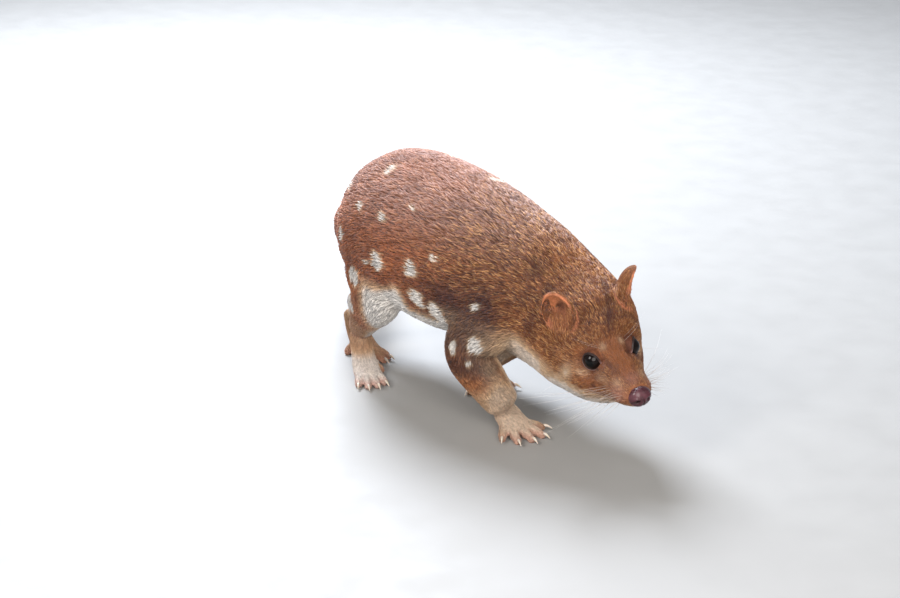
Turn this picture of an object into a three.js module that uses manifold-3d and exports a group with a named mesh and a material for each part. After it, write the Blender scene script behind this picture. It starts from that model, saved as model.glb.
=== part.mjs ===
// A spotted-tailed quoll, life size, walking with its head lowered and turned to its right.
// Millimetres. +X is forward, +Y is the animal's left, +Z is up. The soles rest on z = 0.
// Each part of the body is a closed loft or a few fused lofts, cut clear of the parts that it meets.

import * as THREE from "three";
import { mergeVertices } from "three/addons/utils/BufferGeometryUtils.js";
import Module from "manifold-3d";

const wasm = await Module();
wasm.setup();

// Driving dimensions
const GAP = 0.3; // between parts that meet
const BACK_HEIGHT = 181; // the rump's highest point
const TRUNK_HALF_WIDTH = 58;
const HEAD_YAW = -19; // degrees, turned to its right
const HEAD_PITCH = -13; // degrees, nose down
const HEAD_ROLL = 11; // degrees, left side up
const NOSE_TIP = [275, -23, 57];
const EYE_RADIUS = 7;
const EYE_AT = { back: 44.5, side: 14.5, up: 10.2 }; // in the head's own frame, from the nose tip
const EYE_FACING = 48; // degrees, out from straight ahead
const LID_THICKNESS = 0.9;
const EYE_OPENING = { wide: 12.4, high: 10.4 };
const MOUTH = { corner: 39, front: 1, up: -8.6, fall: 4, step: 0.9, slot: 1.1, depth: 2.6, lip: 1.8 };
const EAR = { length: 38, width: 27, depth: 8.5, wall: 1.6, back: 69, side: 28, up: 40.5 };
const EAR_LEAN = { right: 12, left: 20 }; // degrees, each ear tipped forward
const TAIL_ROOT_RADIUS = 16;
const TAIL_TIP_RADIUS = 5;
const TOE_RADIUS = 3.3;
const SOLE = 0.8; // how far the pads are pressed flat by the floor
const CLAW = { length: 7.5, root: 1.25, tip: 0.35 };

const FUR = { coat: "#8a5636", cream: "#d9c7ad", ear: "#c07a5c", nose: "#6d3a42", claw: "#cdb49f", eye: "#0b0808" };

// Manifold solids from three.js geometry, and back
function solid(geometry) {
  const bare = geometry.clone();
  bare.deleteAttribute("normal");
  bare.deleteAttribute("uv");
  const merged = mergeVertices(bare, 1e-4);
  const vertProperties = new Float32Array(merged.attributes.position.array);
  const triVerts = new Uint32Array(merged.index.array);
  return new wasm.Manifold(new wasm.Mesh({ numProp: 3, vertProperties, triVerts }));
}

function geometryOf(body) {
  const mesh = body.getMesh();
  const positions = new Float32Array(mesh.numVert * 3);
  for (let i = 0; i < mesh.numVert; i++) {
    positions.set(mesh.vertProperties.subarray(i * mesh.numProp, i * mesh.numProp + 3), i * 3);
  }
  const geometry = new THREE.BufferGeometry();
  geometry.setAttribute("position", new THREE.BufferAttribute(positions, 3));
  geometry.setIndex(new THREE.BufferAttribute(new Uint32Array(mesh.triVerts), 1));
  geometry.computeVertexNormals();
  return geometry;
}

const join = (bodies) => bodies.reduce((all, next) => all.add(next));
const cut = (body, tools) => tools.reduce((rest, tool) => rest.subtract(tool), body);
const largest = (body) => body.decompose().reduce((a, b) => (a.volume() > b.volume() ? a : b));

// A closed tube of oval rings on a smooth line through the stations. A station has its place, the half
// width to the side, and the half height above and below the line. crown is the direction of "above".
function loft(stations, { sides = 16, steps = 3, crown = [0, 0, 1], ends = [0.7, 0.7], grow = 0 } = {}) {
  const line = new THREE.CatmullRomCurve3(stations.map((s) => new THREE.Vector3(...s.at)), false, "centripetal");
  const sizes = new THREE.CatmullRomCurve3(
    stations.map((s) => new THREE.Vector3(s.wide, s.above ?? s.wide, s.below ?? s.above ?? s.wide)),
    false,
    "catmullrom",
  );
  const last = (stations.length - 1) * steps;
  const rings = [];
  const ringAt = (t, shift, scale) => {
    const ahead = line.getTangent(t);
    const side = new THREE.Vector3(...crown).cross(ahead).normalize();
    const above = ahead.clone().cross(side);
    const centre = line.getPoint(t).addScaledVector(ahead, shift);
    const size = sizes.getPoint(t).addScalar(grow).multiplyScalar(scale);
    rings.push(
      Array.from({ length: sides }, (_, j) => {
        const angle = (2 * Math.PI * j) / sides;
        const rise = Math.sin(angle);
        return centre
          .clone()
          .addScaledVector(side, size.x * Math.cos(angle))
          .addScaledVector(above, rise * (rise > 0 ? size.y : size.z));
      }),
    );
  };
  const reach = (t, share) => (sizes.getPoint(t).x + grow) * share;
  const domes = [Math.PI / 3, Math.PI / 6];
  for (const turn of domes) ringAt(0, -reach(0, ends[0]) * Math.sin(turn), Math.cos(turn));
  for (let i = 0; i <= last; i++) ringAt(i / last, 0, 1);
  for (const turn of [...domes].reverse()) ringAt(1, reach(1, ends[1]) * Math.sin(turn), Math.cos(turn));

  const first = line.getPoint(0).addScaledVector(line.getTangent(0), -reach(0, ends[0]));
  const final = line.getPoint(1).addScaledVector(line.getTangent(1), reach(1, ends[1]));
  const points = [...rings.flat(), first, final];
  const index = [];
  rings.forEach((ring, i) => {
    for (let j = 0; j < sides; j++) {
      const next = (j + 1) % sides;
      const [a, b] = [i * sides + j, i * sides + next];
      if (i === 0) index.push(points.length - 2, b, a);
      if (i < rings.length - 1) index.push(a, b, b + sides, a, b + sides, a + sides);
      else index.push(points.length - 1, a, b);
    }
  });
  const geometry = new THREE.BufferGeometry().setFromPoints(points);
  geometry.setIndex(index);
  return solid(geometry);
}

// An egg of the given half sizes, turned and placed by a matrix
function egg(halfSizes, matrix, around = 16) {
  const geometry = new THREE.SphereGeometry(1, around, Math.round(around * 0.65));
  geometry.scale(...halfSizes).applyMatrix4(matrix);
  return solid(geometry);
}

function block(size, matrix) {
  return solid(new THREE.BoxGeometry(...size).applyMatrix4(matrix));
}

const UP = new THREE.Vector3(0, 0, 1);
const degrees = THREE.MathUtils.degToRad;
const place = (x, y, z) => new THREE.Matrix4().makeTranslation(x, y, z);
const turn = (roll, pitch, yaw) =>
  new THREE.Matrix4().makeRotationFromEuler(new THREE.Euler(degrees(roll), degrees(-pitch), degrees(yaw), "ZYX"));
const chain = (...matrices) => matrices.reduce((all, m) => all.multiply(m), new THREE.Matrix4());
const point = (matrix, x, y, z) => new THREE.Vector3(x, y, z).applyMatrix4(matrix).toArray();

// Everything below the floor, to give each foot its small flats
const FLOOR = block([1200, 1200, 100], place(0, 0, -50));

// The head's own frame: x forward from the nose tip, y left, z up
const HEAD_FRAME = chain(place(...NOSE_TIP), turn(HEAD_ROLL, HEAD_PITCH, HEAD_YAW));
const headUp = new THREE.Vector3(0, 0, 1).transformDirection(HEAD_FRAME).toArray();
const headForward = new THREE.Vector3(1, 0, 0).transformDirection(HEAD_FRAME);
const SKULL = [
  { back: 78, up: -1, wide: 37, above: 48.5, below: 45.5 },
  { back: 62, up: -4, wide: 32.5, above: 41.5, below: 38.5 },
  { back: 48, up: -4, wide: 27.5, above: 31, below: 30.5 },
  { back: 37, up: -3, wide: 21.5, above: 22, below: 24 },
  { back: 26, up: -2.5, wide: 16, above: 14.5, below: 17.5 },
  { back: 14, up: -2, wide: 12.8, above: 10, below: 12.3 },
  { back: 5, up: -1.5, wide: 8.8, above: 6.6, below: 8.4 },
].map(({ back, up, ...size }) => ({ at: point(HEAD_FRAME, -back, 0, up), ...size }));

// One line runs from the rump through the neck and on into the skull
const TRUNK = [
  { at: [-33, 0, 119], wide: 25, above: 30, below: 28 },
  { at: [-20, 0, 118], wide: 41, above: 48, below: 44 },
  { at: [0, 0, 116], wide: 52, above: 61, below: 53 },
  { at: [30, 0, 114], wide: TRUNK_HALF_WIDTH, above: BACK_HEIGHT - 114, below: 57 },
  { at: [72, 0, 111], wide: TRUNK_HALF_WIDTH, above: 65, below: 61 },
  { at: [112, 0, 106], wide: TRUNK_HALF_WIDTH - 3, above: 59, below: 55 },
  { at: [145, 1, 101], wide: 49, above: 51, below: 50 },
  { at: [171, 4, 91], wide: 43, above: 45, below: 51 },
];
const trunk = (grow = 0) => loft([...TRUNK, ...SKULL.slice(0, 2)], { sides: 26, steps: 3, ends: [0.25, 0.5], grow });
const skull = (grow = 0) =>
  loft([...TRUNK.slice(-2), ...SKULL], { sides: 26, steps: 3, crown: headUp, ends: [0.3, 0.35], grow });

// The half of space ahead of a flat cut across the body, or behind it
function half(spot, aim, forward) {
  const frame = new THREE.Matrix4().lookAt(aim.clone().multiplyScalar(forward), new THREE.Vector3(), UP);
  return block([500, 500, 500], chain(frame.setPosition(spot), place(0, 0, 250 + GAP / 2)));
}
const SHOULDER_CUT = [new THREE.Vector3(160, 0, 95), new THREE.Vector3(1, 0, 0)];
const NAPE_CUT = [new THREE.Vector3(...point(HEAD_FRAME, -88, 0, 0)), headForward];

const eyePlace = (side) =>
  chain(HEAD_FRAME, place(-EYE_AT.back, side * EYE_AT.side, EYE_AT.up), turn(0, 6, side * EYE_FACING));
const eye = (side, grow = 0) => egg(Array(3).fill(EYE_RADIUS + grow), eyePlace(side), 16);

// The dish that the eye lies in, and lids that leave an oval of the eye open
const eyeDish = (side) => egg([5, 9.5, 8], chain(eyePlace(side), place(8.8, 0, 0)), 14);
function lids(side) {
  const opening = [8, EYE_OPENING.wide * 0.577, EYE_OPENING.high * 0.577];
  return cut(egg(Array(3).fill(EYE_RADIUS + LID_THICKNESS), eyePlace(side), 16), [
    egg(opening, chain(eyePlace(side), place(8, 0, 0)), 16),
  ]);
}

// A slab across the muzzle along the line of the mouth, between two heights from that line
function mouthSlab(low, high) {
  const length = MOUTH.corner - MOUTH.front;
  const line = chain(HEAD_FRAME, place(-MOUTH.front - length / 2, 0, MOUTH.up), turn(0, MOUTH.fall, 0));
  return block([length, 70, high - low], chain(line, place(0, 0, (low + high) / 2)));
}

function ear(side, grow = 0) {
  const spot = place(-EAR.back, side * EAR.side, EAR.up);
  const lean = side < 0 ? EAR_LEAN.right : EAR_LEAN.left;
  const root = chain(HEAD_FRAME, spot, turn(0, -lean, 0), turn(side * -12, 6, side * 50));
  const half = [EAR.depth, EAR.width / 2, EAR.length / 2];
  const shell = egg(half.map((size) => size + grow), root, 16);
  if (grow) return shell;
  const hollow = egg(half.map((size) => size - EAR.wall), chain(root, place(EAR.wall * 0.8, 0, 0)), 16);
  const opening = block([40, 60, 60], chain(root, turn(0, -8, 0), place(21.5, 0, 0)));
  return cut(shell, [hollow, opening]);
}

const noseFrame = chain(HEAD_FRAME, place(-4.6, 0, -1.2));
function nose(grow = 0) {
  const pad = egg([6.4 + grow, 8.6 + grow, 7.6 + grow], noseFrame, 14);
  if (grow) return pad;
  const nostrils = [-1, 1].map((side) =>
    egg([3.2, 1.5, 1.5], chain(noseFrame, place(3.9, side * 4.9, -0.6), turn(0, 0, side * 50)), 8),
  );
  const groove = block([3, 0.7, 9], chain(noseFrame, place(6.2, 0, -4.4)));
  return cut(pad, [...nostrils, groove]);
}

// Limbs: the upper part is sunk in the trunk, and the foot is its own part
const LIMBS = {
  foreleg_right: [
    { at: [142, -24, 94], wide: 25, above: 30, below: 32 },
    { at: [129, -35, 74], wide: 20, above: 27, below: 26 },
    { at: [125, -42, 54], wide: 17, above: 21, below: 19 },
    { at: [139, -39, 36], wide: 15.5, above: 16.5, below: 15.5 },
    { at: [150, -34, 21], wide: 13, above: 13.5, below: 12.5 },
  ],
  foreleg_left: [
    { at: [142, 24, 94], wide: 25, above: 30, below: 32 },
    { at: [128, 30, 74], wide: 20, above: 25, below: 26 },
    { at: [112, 31, 54], wide: 17, above: 20, below: 19 },
    { at: [95, 25, 36], wide: 15, above: 15.5, below: 15 },
    { at: [79, 19, 21], wide: 13, above: 13, below: 12.5 },
  ],
  hindleg_right: [
    { at: [18, -20, 112], wide: 36, above: 40, below: 38 },
    { at: [20, -32, 88], wide: 24, above: 34, below: 33 },
    { at: [20, -38, 69], wide: 17.5, above: 23, below: 24 },
    { at: [7, -35, 52], wide: 13, above: 15, below: 14 },
    { at: [-7, -28, 37], wide: 10, above: 10.5, below: 10 },
  ],
  hindleg_left: [
    { at: [14, 20, 112], wide: 36, above: 40, below: 38 },
    { at: [8, 32, 88], wide: 24, above: 33, below: 34 },
    { at: [1, 28, 68], wide: 17.5, above: 22, below: 24 },
    { at: [-26, 14, 50], wide: 13, above: 14.5, below: 13.5 },
    { at: [-46, 2, 37], wide: 10, above: 10.5, below: 10 },
  ],
};
const limb = (name, grow = 0) => loft(LIMBS[name], { sides: 16, steps: 3, crown: [1, 0, 0], ends: [0.5, 0.6], grow });

// A foot in its own frame: x towards the toes, the sole at z = 0, the leg's end at the given ankle
const FOREFOOT = {
  palm: [
    { at: [-9, 0, 12], wide: 9.5, above: 8.5, below: 8.5 },
    { at: [0, 0, 8.5], wide: 11, above: 6.5, below: 8 },
    { at: [9, 0, 6], wide: 12.5, above: 4.6, below: 6 },
  ],
  toes: [
    { from: [4, 10, 5], angle: 48, length: 15, claw: true },
    { from: [10, 6.5, 5], angle: 17, length: 18, claw: true },
    { from: [11, 0, 5], angle: 1, length: 19, claw: true },
    { from: [10, -6.5, 5], angle: -15, length: 18, claw: true },
    { from: [5, -10.5, 5], angle: -36, length: 15, claw: true },
  ],
};
const HINDFOOT = {
  palm: [
    { at: [-7, 0, 30], wide: 8.6, above: 9, below: 8.5 },
    { at: [-1, 0, 17], wide: 9, above: 8, below: 8 },
    { at: [11, 0, 7.5], wide: 10.5, above: 5.6, below: 7.2 },
    { at: [22, 0, 5.4], wide: 11, above: 4.4, below: 5.4 },
  ],
  toes: [
    { from: [4, 8, 6], angle: 62, length: 9, claw: false },
    { from: [20, 6.6, 4.6], angle: 14, length: 16, claw: true },
    { from: [22, 2, 4.6], angle: 4, length: 18, claw: true },
    { from: [22, -3, 4.6], angle: -5, length: 18, claw: true },
    { from: [20, -7.4, 4.6], angle: -16, length: 15, claw: true },
  ],
};
const FEET = {
  forefoot_right: { shape: FOREFOOT, at: [158, -31, -SOLE], yaw: -14, inner: 1 },
  forefoot_left: { shape: FOREFOOT, at: [84, 16, -SOLE], yaw: -20, inner: -1 },
  hindfoot_right: { shape: HINDFOOT, at: [-4, -30, -SOLE], yaw: -30, inner: 1 },
  hindfoot_left: { shape: HINDFOOT, at: [-42, 0, -SOLE], yaw: -16, inner: -1 },
};

// Where a toe starts, bends and ends in the world, and how its claw goes on from there
function toeLine(foot, toe) {
  const frame = chain(place(...foot.at), turn(0, 0, foot.yaw));
  const angle = degrees(toe.angle * foot.inner);
  const along = (reach, height) =>
    point(
      frame,
      toe.from[0] + reach * Math.cos(angle),
      toe.from[1] * foot.inner + reach * Math.sin(angle),
      height,
    );
  return { along, root: along(-5, toe.from[2]), knuckle: along(toe.length * 0.45, 4.8), tip: along(toe.length - 3, 2.7) };
}

function toeLoft(foot, toe, grow) {
  const { root, knuckle, tip } = toeLine(foot, toe);
  const stations = [
    { at: root, wide: TOE_RADIUS },
    { at: knuckle, wide: TOE_RADIUS },
    { at: tip, wide: TOE_RADIUS * 0.84 },
  ];
  return loft(stations, { sides: 8, steps: 1, ends: [0.6, 0.9], grow });
}

function footBody(name, grow = 0) {
  const foot = FEET[name];
  const frame = chain(place(...foot.at), turn(0, 0, foot.yaw));
  const palm = foot.shape.palm.map(({ at, ...size }) => ({ at: point(frame, ...at), ...size }));
  const toes = foot.shape.toes.map((toe) => toeLoft(foot, toe, grow));
  return cut(join([loft(palm, { sides: 14, steps: 2, ends: [0.5, 0.6], grow }), ...toes]), [FLOOR]);
}

function clawBody(foot, toe) {
  const { along } = toeLine(foot, toe);
  const start = toe.length - 3;
  const stations = [
    { at: along(start, 4.4), wide: CLAW.root },
    { at: along(start + CLAW.length * 0.5, 4.8), wide: CLAW.root * 0.85, above: CLAW.root * 1.1 },
    { at: along(start + CLAW.length, 2.6), wide: CLAW.tip },
  ];
  return loft(stations, { sides: 6, steps: 1, ends: [0.4, 0.6] });
}

// The tail leaves the rump low, swings to the left and is held just off the ground
const TAIL = [
  [-18, 0, 124],
  [-48, 4, 110],
  [-76, 26, 86],
  [-104, 55, 67],
  [-134, 86, 55],
  [-164, 117, 50],
  [-194, 147, 49],
  [-220, 172, 51],
  [-244, 194, 56],
];
const TAIL_CUTS = [0.4, 0.69]; // shares of the way from the root to the tip
const tailRadius = (share) => TAIL_ROOT_RADIUS + (TAIL_TIP_RADIUS - TAIL_ROOT_RADIUS) * share ** 1.15;
const tail = loft(
  TAIL.map((at, i) => ({ at, wide: tailRadius(i / (TAIL.length - 1)) })),
  { sides: 14, steps: 3, ends: [0.7, 1.2] },
);

const tailLine = new THREE.CatmullRomCurve3(TAIL.map((p) => new THREE.Vector3(...p)), false, "centripetal");
const tailCut = (share) => [tailLine.getPoint(share), tailLine.getTangent(share)];

// Group of the named meshes
const quoll = new THREE.Group();
function add(name, body, colour, roughness = 0.85) {
  const material = new THREE.MeshStandardMaterial({ color: colour, roughness, metalness: 0 });
  const mesh = new THREE.Mesh(geometryOf(largest(body)), material);
  mesh.name = name;
  quoll.add(mesh);
}

const SIDES = { right: -1, left: 1 };
const torso = (grow = 0) => trunk(grow).intersect(half(...SHOULDER_CUT, -1));
add("torso", torso(), FUR.coat);
add("neck", trunk().intersect(half(...SHOULDER_CUT, 1)).intersect(half(...NAPE_CUT, -1)), FUR.coat);

// The upper lip overhangs the lower jaw, and the mouth is a slot under it
const jawStep = cut(mouthSlab(-5, 0), [skull(-MOUTH.step)]);
const mouthSlot = cut(mouthSlab(-MOUTH.slot, 0), [skull(-MOUTH.depth)]);
const lip = mouthSlab(-0.2, MOUTH.lip).intersect(skull(0.6));
const bothSides = (make) => Object.values(SIDES).map((side) => make(side));
const shaped = join([cut(skull(), [jawStep, ...bothSides(eyeDish)]), lip, ...bothSides(lids)]);
const face = cut(shaped, [mouthSlot, ...bothSides((side) => eye(side, GAP)), nose(GAP)]);
add("head", face.intersect(half(...NAPE_CUT, 1)), FUR.coat);
add("nose", nose(), FUR.nose, 0.35);
for (const [name, side] of Object.entries(SIDES)) {
  add(`eye_${name}`, eye(side), FUR.eye, 0.08);
  add(`ear_${name}`, cut(ear(side), [skull(GAP), trunk(GAP)]), FUR.ear);
}

for (const name of Object.keys(LIMBS)) add(name, cut(limb(name), [trunk(GAP)]), FUR.coat);
const legOf = (foot) => foot.replace("foot", "leg");
for (const [name, foot] of Object.entries(FEET)) {
  add(name, cut(footBody(name), [limb(legOf(name), GAP)]), FUR.cream);
  const grown = footBody(name, GAP);
  foot.shape.toes.forEach((toe, i) => {
    if (toe.claw) add(`claw_${name}_${i + 1}`, cut(clawBody(foot, toe), [grown]), FUR.claw, 0.4);
  });
}

const [inner, outer] = TAIL_CUTS.map(tailCut);
add("tail_root", cut(tail.intersect(half(...inner, -1)), [trunk(GAP)]), FUR.coat);
add("tail_middle", tail.intersect(half(...inner, 1)).intersect(half(...outer, -1)), FUR.coat);
add("tail_end", tail.intersect(half(...outer, 1)), FUR.coat);

// The frame's origin is under the middle of the whole animal, on the floor
const bounds = new THREE.Box3().setFromObject(quoll);
const middle = bounds.getCenter(new THREE.Vector3());
quoll.children.forEach((mesh) => mesh.geometry.translate(-middle.x, -middle.y, -bounds.min.z));

export default quoll;
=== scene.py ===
"""A spotted-tailed quoll at life size, walking with its head held low."""
import math

import bmesh
import bpy
import numpy as np
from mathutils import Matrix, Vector
from mathutils.bvhtree import BVHTree


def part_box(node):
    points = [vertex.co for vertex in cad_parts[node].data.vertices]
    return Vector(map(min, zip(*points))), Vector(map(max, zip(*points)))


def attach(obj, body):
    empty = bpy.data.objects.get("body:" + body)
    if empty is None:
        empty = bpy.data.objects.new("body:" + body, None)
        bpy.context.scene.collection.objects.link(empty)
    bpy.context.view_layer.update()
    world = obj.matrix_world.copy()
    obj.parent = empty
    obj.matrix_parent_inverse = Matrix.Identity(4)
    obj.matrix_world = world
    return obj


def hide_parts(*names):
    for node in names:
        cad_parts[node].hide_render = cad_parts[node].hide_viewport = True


SEED = 11

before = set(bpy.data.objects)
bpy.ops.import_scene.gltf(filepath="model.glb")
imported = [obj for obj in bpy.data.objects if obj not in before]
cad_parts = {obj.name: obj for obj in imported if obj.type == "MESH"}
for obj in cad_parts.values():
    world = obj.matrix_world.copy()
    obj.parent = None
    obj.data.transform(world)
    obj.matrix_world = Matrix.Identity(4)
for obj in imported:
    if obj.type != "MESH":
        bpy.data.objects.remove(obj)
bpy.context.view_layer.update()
chance = np.random.default_rng(SEED)

# Sizes are in millimetres in the animal's own frame: x forward, y to its left, z up from the floor.
# Angles are in degrees
RIGHT, LEFT = SIDES = (-1, 1)
HEAD_YAW, HEAD_PITCH, HEAD_ROLL = -19, -13, 11
NOSE_TIP = np.array([275.0, -23.0, 57.0])
NOSE_MIDDLE = (-4.6, 0, -1.2)
NOSE_HALF = np.array([6.4, 8.6, 7.6])
EYE_RADIUS, EYE_BULGE = 7.0, 0.45
EYE_BACK, EYE_SIDE, EYE_UP = 44.5, 14.5, 10.2
EYE_FACING, EYE_LIFT = 52, 12
EYE_OPEN_WIDE, EYE_OPEN_HIGH = 62, 49
TEAR_CORNER, TEAR_REACH = 20, 12
EAR_BACK, EAR_SIDE, EAR_UP = 69, 28, 40.5
EAR_LEAN = {RIGHT: 12, LEFT: 20}
EAR_HALF = np.array([8.5, 13.5, 19.0])
EAR_WALL, EAR_OPEN = 1.7, 100
SOLE = 0.8
TOE_RADIUS = 3.3
TAIL_ROOT_RADIUS, TAIL_TIP_RADIUS, TAIL_TAPER = 16.0, 5.0, 1.15
WHISKER_ROW_GAP, WHISKER_ROW_SLOPE = 3.2, 0.10
VOXEL = 0.9
SKIN_FLOOR, COAT_FLOOR = 0.15, 0.1
TUFTS = 147000
TUFTS_A_PIECE = 17500
PATCH = 0.003


# Turns and places
def turn(roll, pitch, yaw):
    """The rotation by roll about x, then pitch with the nose up, then yaw about z."""
    a, b, c = np.radians([roll, -pitch, yaw])
    about_x = np.array([[1, 0, 0], [0, math.cos(a), -math.sin(a)], [0, math.sin(a), math.cos(a)]])
    about_y = np.array([[math.cos(b), 0, math.sin(b)], [0, 1, 0], [-math.sin(b), 0, math.cos(b)]])
    about_z = np.array([[math.cos(c), -math.sin(c), 0], [math.sin(c), math.cos(c), 0], [0, 0, 1]])
    return about_z @ about_y @ about_x


HEAD_TURN = turn(HEAD_ROLL, HEAD_PITCH, HEAD_YAW)


def on_head(points):
    """From the head's frame (forward from the nose tip, left, up) to the animal's."""
    return NOSE_TIP + np.asarray(points, float) @ HEAD_TURN.T


def in_head(points):
    return (np.asarray(points, float) - NOSE_TIP) @ HEAD_TURN


def eye_place(side):
    return on_head([-EYE_BACK, side * EYE_SIDE, EYE_UP])


def eye_turn(side):
    return HEAD_TURN @ turn(0, EYE_LIFT, side * EYE_FACING)


def ear_place(side):
    return on_head([-EAR_BACK, side * EAR_SIDE, EAR_UP])


def ear_turn(side):
    return HEAD_TURN @ turn(0, -EAR_LEAN[side], 0) @ turn(side * -12, 6, side * 50)


def on_foot(at, yaw, spot):
    return np.array(at) + turn(0, 0, yaw) @ np.array(spot)


low_corner, high_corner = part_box("eye_left")
SHIFT = (np.array(low_corner) + np.array(high_corner)) / 2 * 1000 - eye_place(LEFT)


def to_frame(points):
    """From the animal's millimetres to the metres of the part's frame."""
    return (np.asarray(points, float) + SHIFT) / 1000


# Smooth measures and lines
def unit(vectors):
    return vectors / np.maximum(np.linalg.norm(vectors, axis=-1, keepdims=True), 1e-9)


def soft(value, start, end):
    """0 before start, 1 after end and a smooth rise between them."""
    share = np.clip((value - start) / (end - start), 0, 1)
    return share * share * (3 - 2 * share)


def bump(value, middle, width):
    """1 at the middle, and a smooth fall to both sides."""
    return np.exp(-(((value - middle) / width) ** 2))


def ripple(points, wavelength, seed, waves=14):
    """A smooth seeded waver over space, mostly between -1 and 1."""
    draw = np.random.default_rng(seed)
    ways = unit(draw.normal(size=(waves, 3))) * draw.uniform(0.7, 1.5, (waves, 1))
    phases = draw.uniform(0, 2 * math.pi, waves)
    return np.sin(points @ ways.T * (2 * math.pi / wavelength) + phases).sum(1) / math.sqrt(waves / 2)


def on_line(stations, shares, even=False):
    """Points at shares of the way along a smooth line through the stations."""
    p = np.asarray(stations, float)
    p = np.vstack([2 * p[0] - p[1], p, 2 * p[-1] - p[-2]])
    spot = np.clip(np.asarray(shares, float), 0, 1) * (len(p) - 3)
    i = np.minimum(spot.astype(int), len(p) - 4)
    w = (spot - i)[:, None]
    a, b, c, d = p[i], p[i + 1], p[i + 2], p[i + 3]
    if even:
        leave, arrive = (c - a) / 2, (d - b) / 2
    else:
        steps = (b - a, c - b, d - c)
        gaps = [np.maximum(np.linalg.norm(e, axis=1)[:, None], 1e-6) ** 0.5 for e in steps]
        leave = ((b - a) / gaps[0] - (c - a) / (gaps[0] + gaps[1]) + (c - b) / gaps[1]) * gaps[1]
        arrive = ((c - b) / gaps[1] - (d - b) / (gaps[1] + gaps[2]) + (d - c) / gaps[2]) * gaps[1]
    bend = (3 * (c - b) - 2 * leave - arrive) * w**2 + (2 * (b - c) + leave + arrive) * w**3
    return b + leave * w + bend


def heading(stations, shares, step=0.01):
    return unit(on_line(stations, shares + step) - on_line(stations, shares - step))


def line_length(places):
    return np.linalg.norm(np.diff(places, axis=0), axis=1).sum()


# Closed forms, each with its points and its faces
CAP_TURNS = np.radians([80, 60, 40, 20])


def loft(places, sizes, crown=(0, 0, 1), ends=(0.7, 0.7), sides=48, step=2.5):
    """A closed tube of oval rings. A size is the half width, and the half height above and below."""
    places, sizes = np.asarray(places, float), np.asarray(sizes, float)
    shares = np.linspace(0, 1, max(6, int(line_length(places) / step)))
    centre = on_line(places, shares)
    ahead = heading(places, shares)
    size = on_line(sizes, shares, even=True)

    def cap(end, reach, turns):
        out = ahead[end] * size[end, 0] * reach
        return [(centre[end] + out * math.sin(t), ahead[end], size[end] * math.cos(t)) for t in turns]

    rows = cap(0, -ends[0], CAP_TURNS) + list(zip(centre, ahead, size)) + cap(-1, ends[1], CAP_TURNS[::-1])
    angle = np.linspace(0, 2 * math.pi, sides, endpoint=False)
    points = []
    for middle, forward, (wide, above, below) in rows:
        side = unit(np.cross(crown, forward))
        up = np.cross(forward, side)
        rise = np.sin(angle)
        height = np.where(rise > 0, above, below)
        points.append(middle + np.outer(np.cos(angle) * wide, side) + np.outer(rise * height, up))
    return closed_rings(np.array(points))


def closed_rings(rings):
    """A closed form from rings of equal count, with a fan at each end."""
    count, sides = rings.shape[:2]
    points = np.vstack([rings.reshape(-1, 3), rings[0].mean(0), rings[-1].mean(0)])
    faces = []
    for i in range(count - 1):
        for j in range(sides):
            k = (j + 1) % sides
            faces.append((i * sides + j, i * sides + k, (i + 1) * sides + k, (i + 1) * sides + j))
    for j in range(sides):
        k = (j + 1) % sides
        faces.append((count * sides, k, j))
        faces.append((count * sides + 1, (count - 1) * sides + j, (count - 1) * sides + k))
    return points, faces


def turned_out(faces):
    return [face[::-1] for face in faces]


def ball_rings(around, turns):
    """Rings of ways out from a ball's middle, at turns away from its x axis."""
    angle = np.linspace(0, 2 * math.pi, around, endpoint=False)
    return np.array([
        np.stack([np.full(around, math.cos(t)), math.sin(t) * np.cos(angle), math.sin(t) * np.sin(angle)], 1)
        for t in turns
    ])


def egg(half_sizes, rotation, middle, around=40, pole=0.06):
    turns = np.linspace(pole, math.pi - pole, around // 2)
    points, faces = closed_rings(ball_rings(around, turns) * [-1, 1, 1])
    return points * half_sizes @ rotation.T + middle, faces


# The animal's lines. A skull station is its place back and up from the nose tip, and its size as in loft
SKULL = [
    (78, -1, 37, 48.5, 45.5),
    (62, -4, 32.5, 41.5, 38.5),
    (48, -4, 27.5, 31, 30.5),
    (37, -3, 21.5, 22, 24),
    (26, -2.5, 16, 14.5, 17.5),
    (14, -2, 12.8, 10, 12.3),
    (5, -1.5, 8.8, 6.6, 8.4),
]
SKULL_PLACES = [on_head([-back, 0, up]) for back, up, *_ in SKULL]
SKULL_SIZES = [size for _, _, *size in SKULL]
TRUNK_PLACES = [
    (-33, 0, 119), (-20, 0, 118), (0, 0, 116), (30, 0, 114),
    (72, 0, 111), (112, 0, 106), (145, 1, 101), (171, 4, 91),
]
TRUNK_SIZES = [
    (25, 30, 28), (41, 48, 44), (52, 61, 53), (58, 67, 57),
    (58, 65, 61), (55, 59, 55), (49, 51, 50), (43, 45, 51),
]
LIMBS = {
    "foreleg_right": (
        [(142, -24, 94), (129, -35, 74), (125, -42, 54), (139, -39, 36), (150, -34, 21)],
        [(25, 30, 32), (20, 27, 26), (17, 21, 19), (15.5, 16.5, 15.5), (13, 13.5, 12.5)],
    ),
    "foreleg_left": (
        [(142, 24, 94), (128, 30, 74), (112, 31, 54), (95, 25, 36), (79, 19, 21)],
        [(25, 30, 32), (20, 25, 26), (17, 20, 19), (15, 15.5, 15), (13, 13, 12.5)],
    ),
    "hindleg_right": (
        [(18, -20, 112), (20, -32, 88), (20, -38, 69), (7, -35, 52), (-7, -28, 37)],
        [(36, 40, 38), (24, 34, 33), (17.5, 23, 24), (13, 15, 14), (10, 10.5, 10)],
    ),
    "hindleg_left": (
        [(14, 20, 112), (8, 32, 88), (1, 28, 68), (-26, 14, 50), (-46, 2, 37)],
        [(36, 40, 38), (24, 33, 34), (17.5, 22, 24), (13, 14.5, 13.5), (10, 10.5, 10)],
    ),
}
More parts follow.
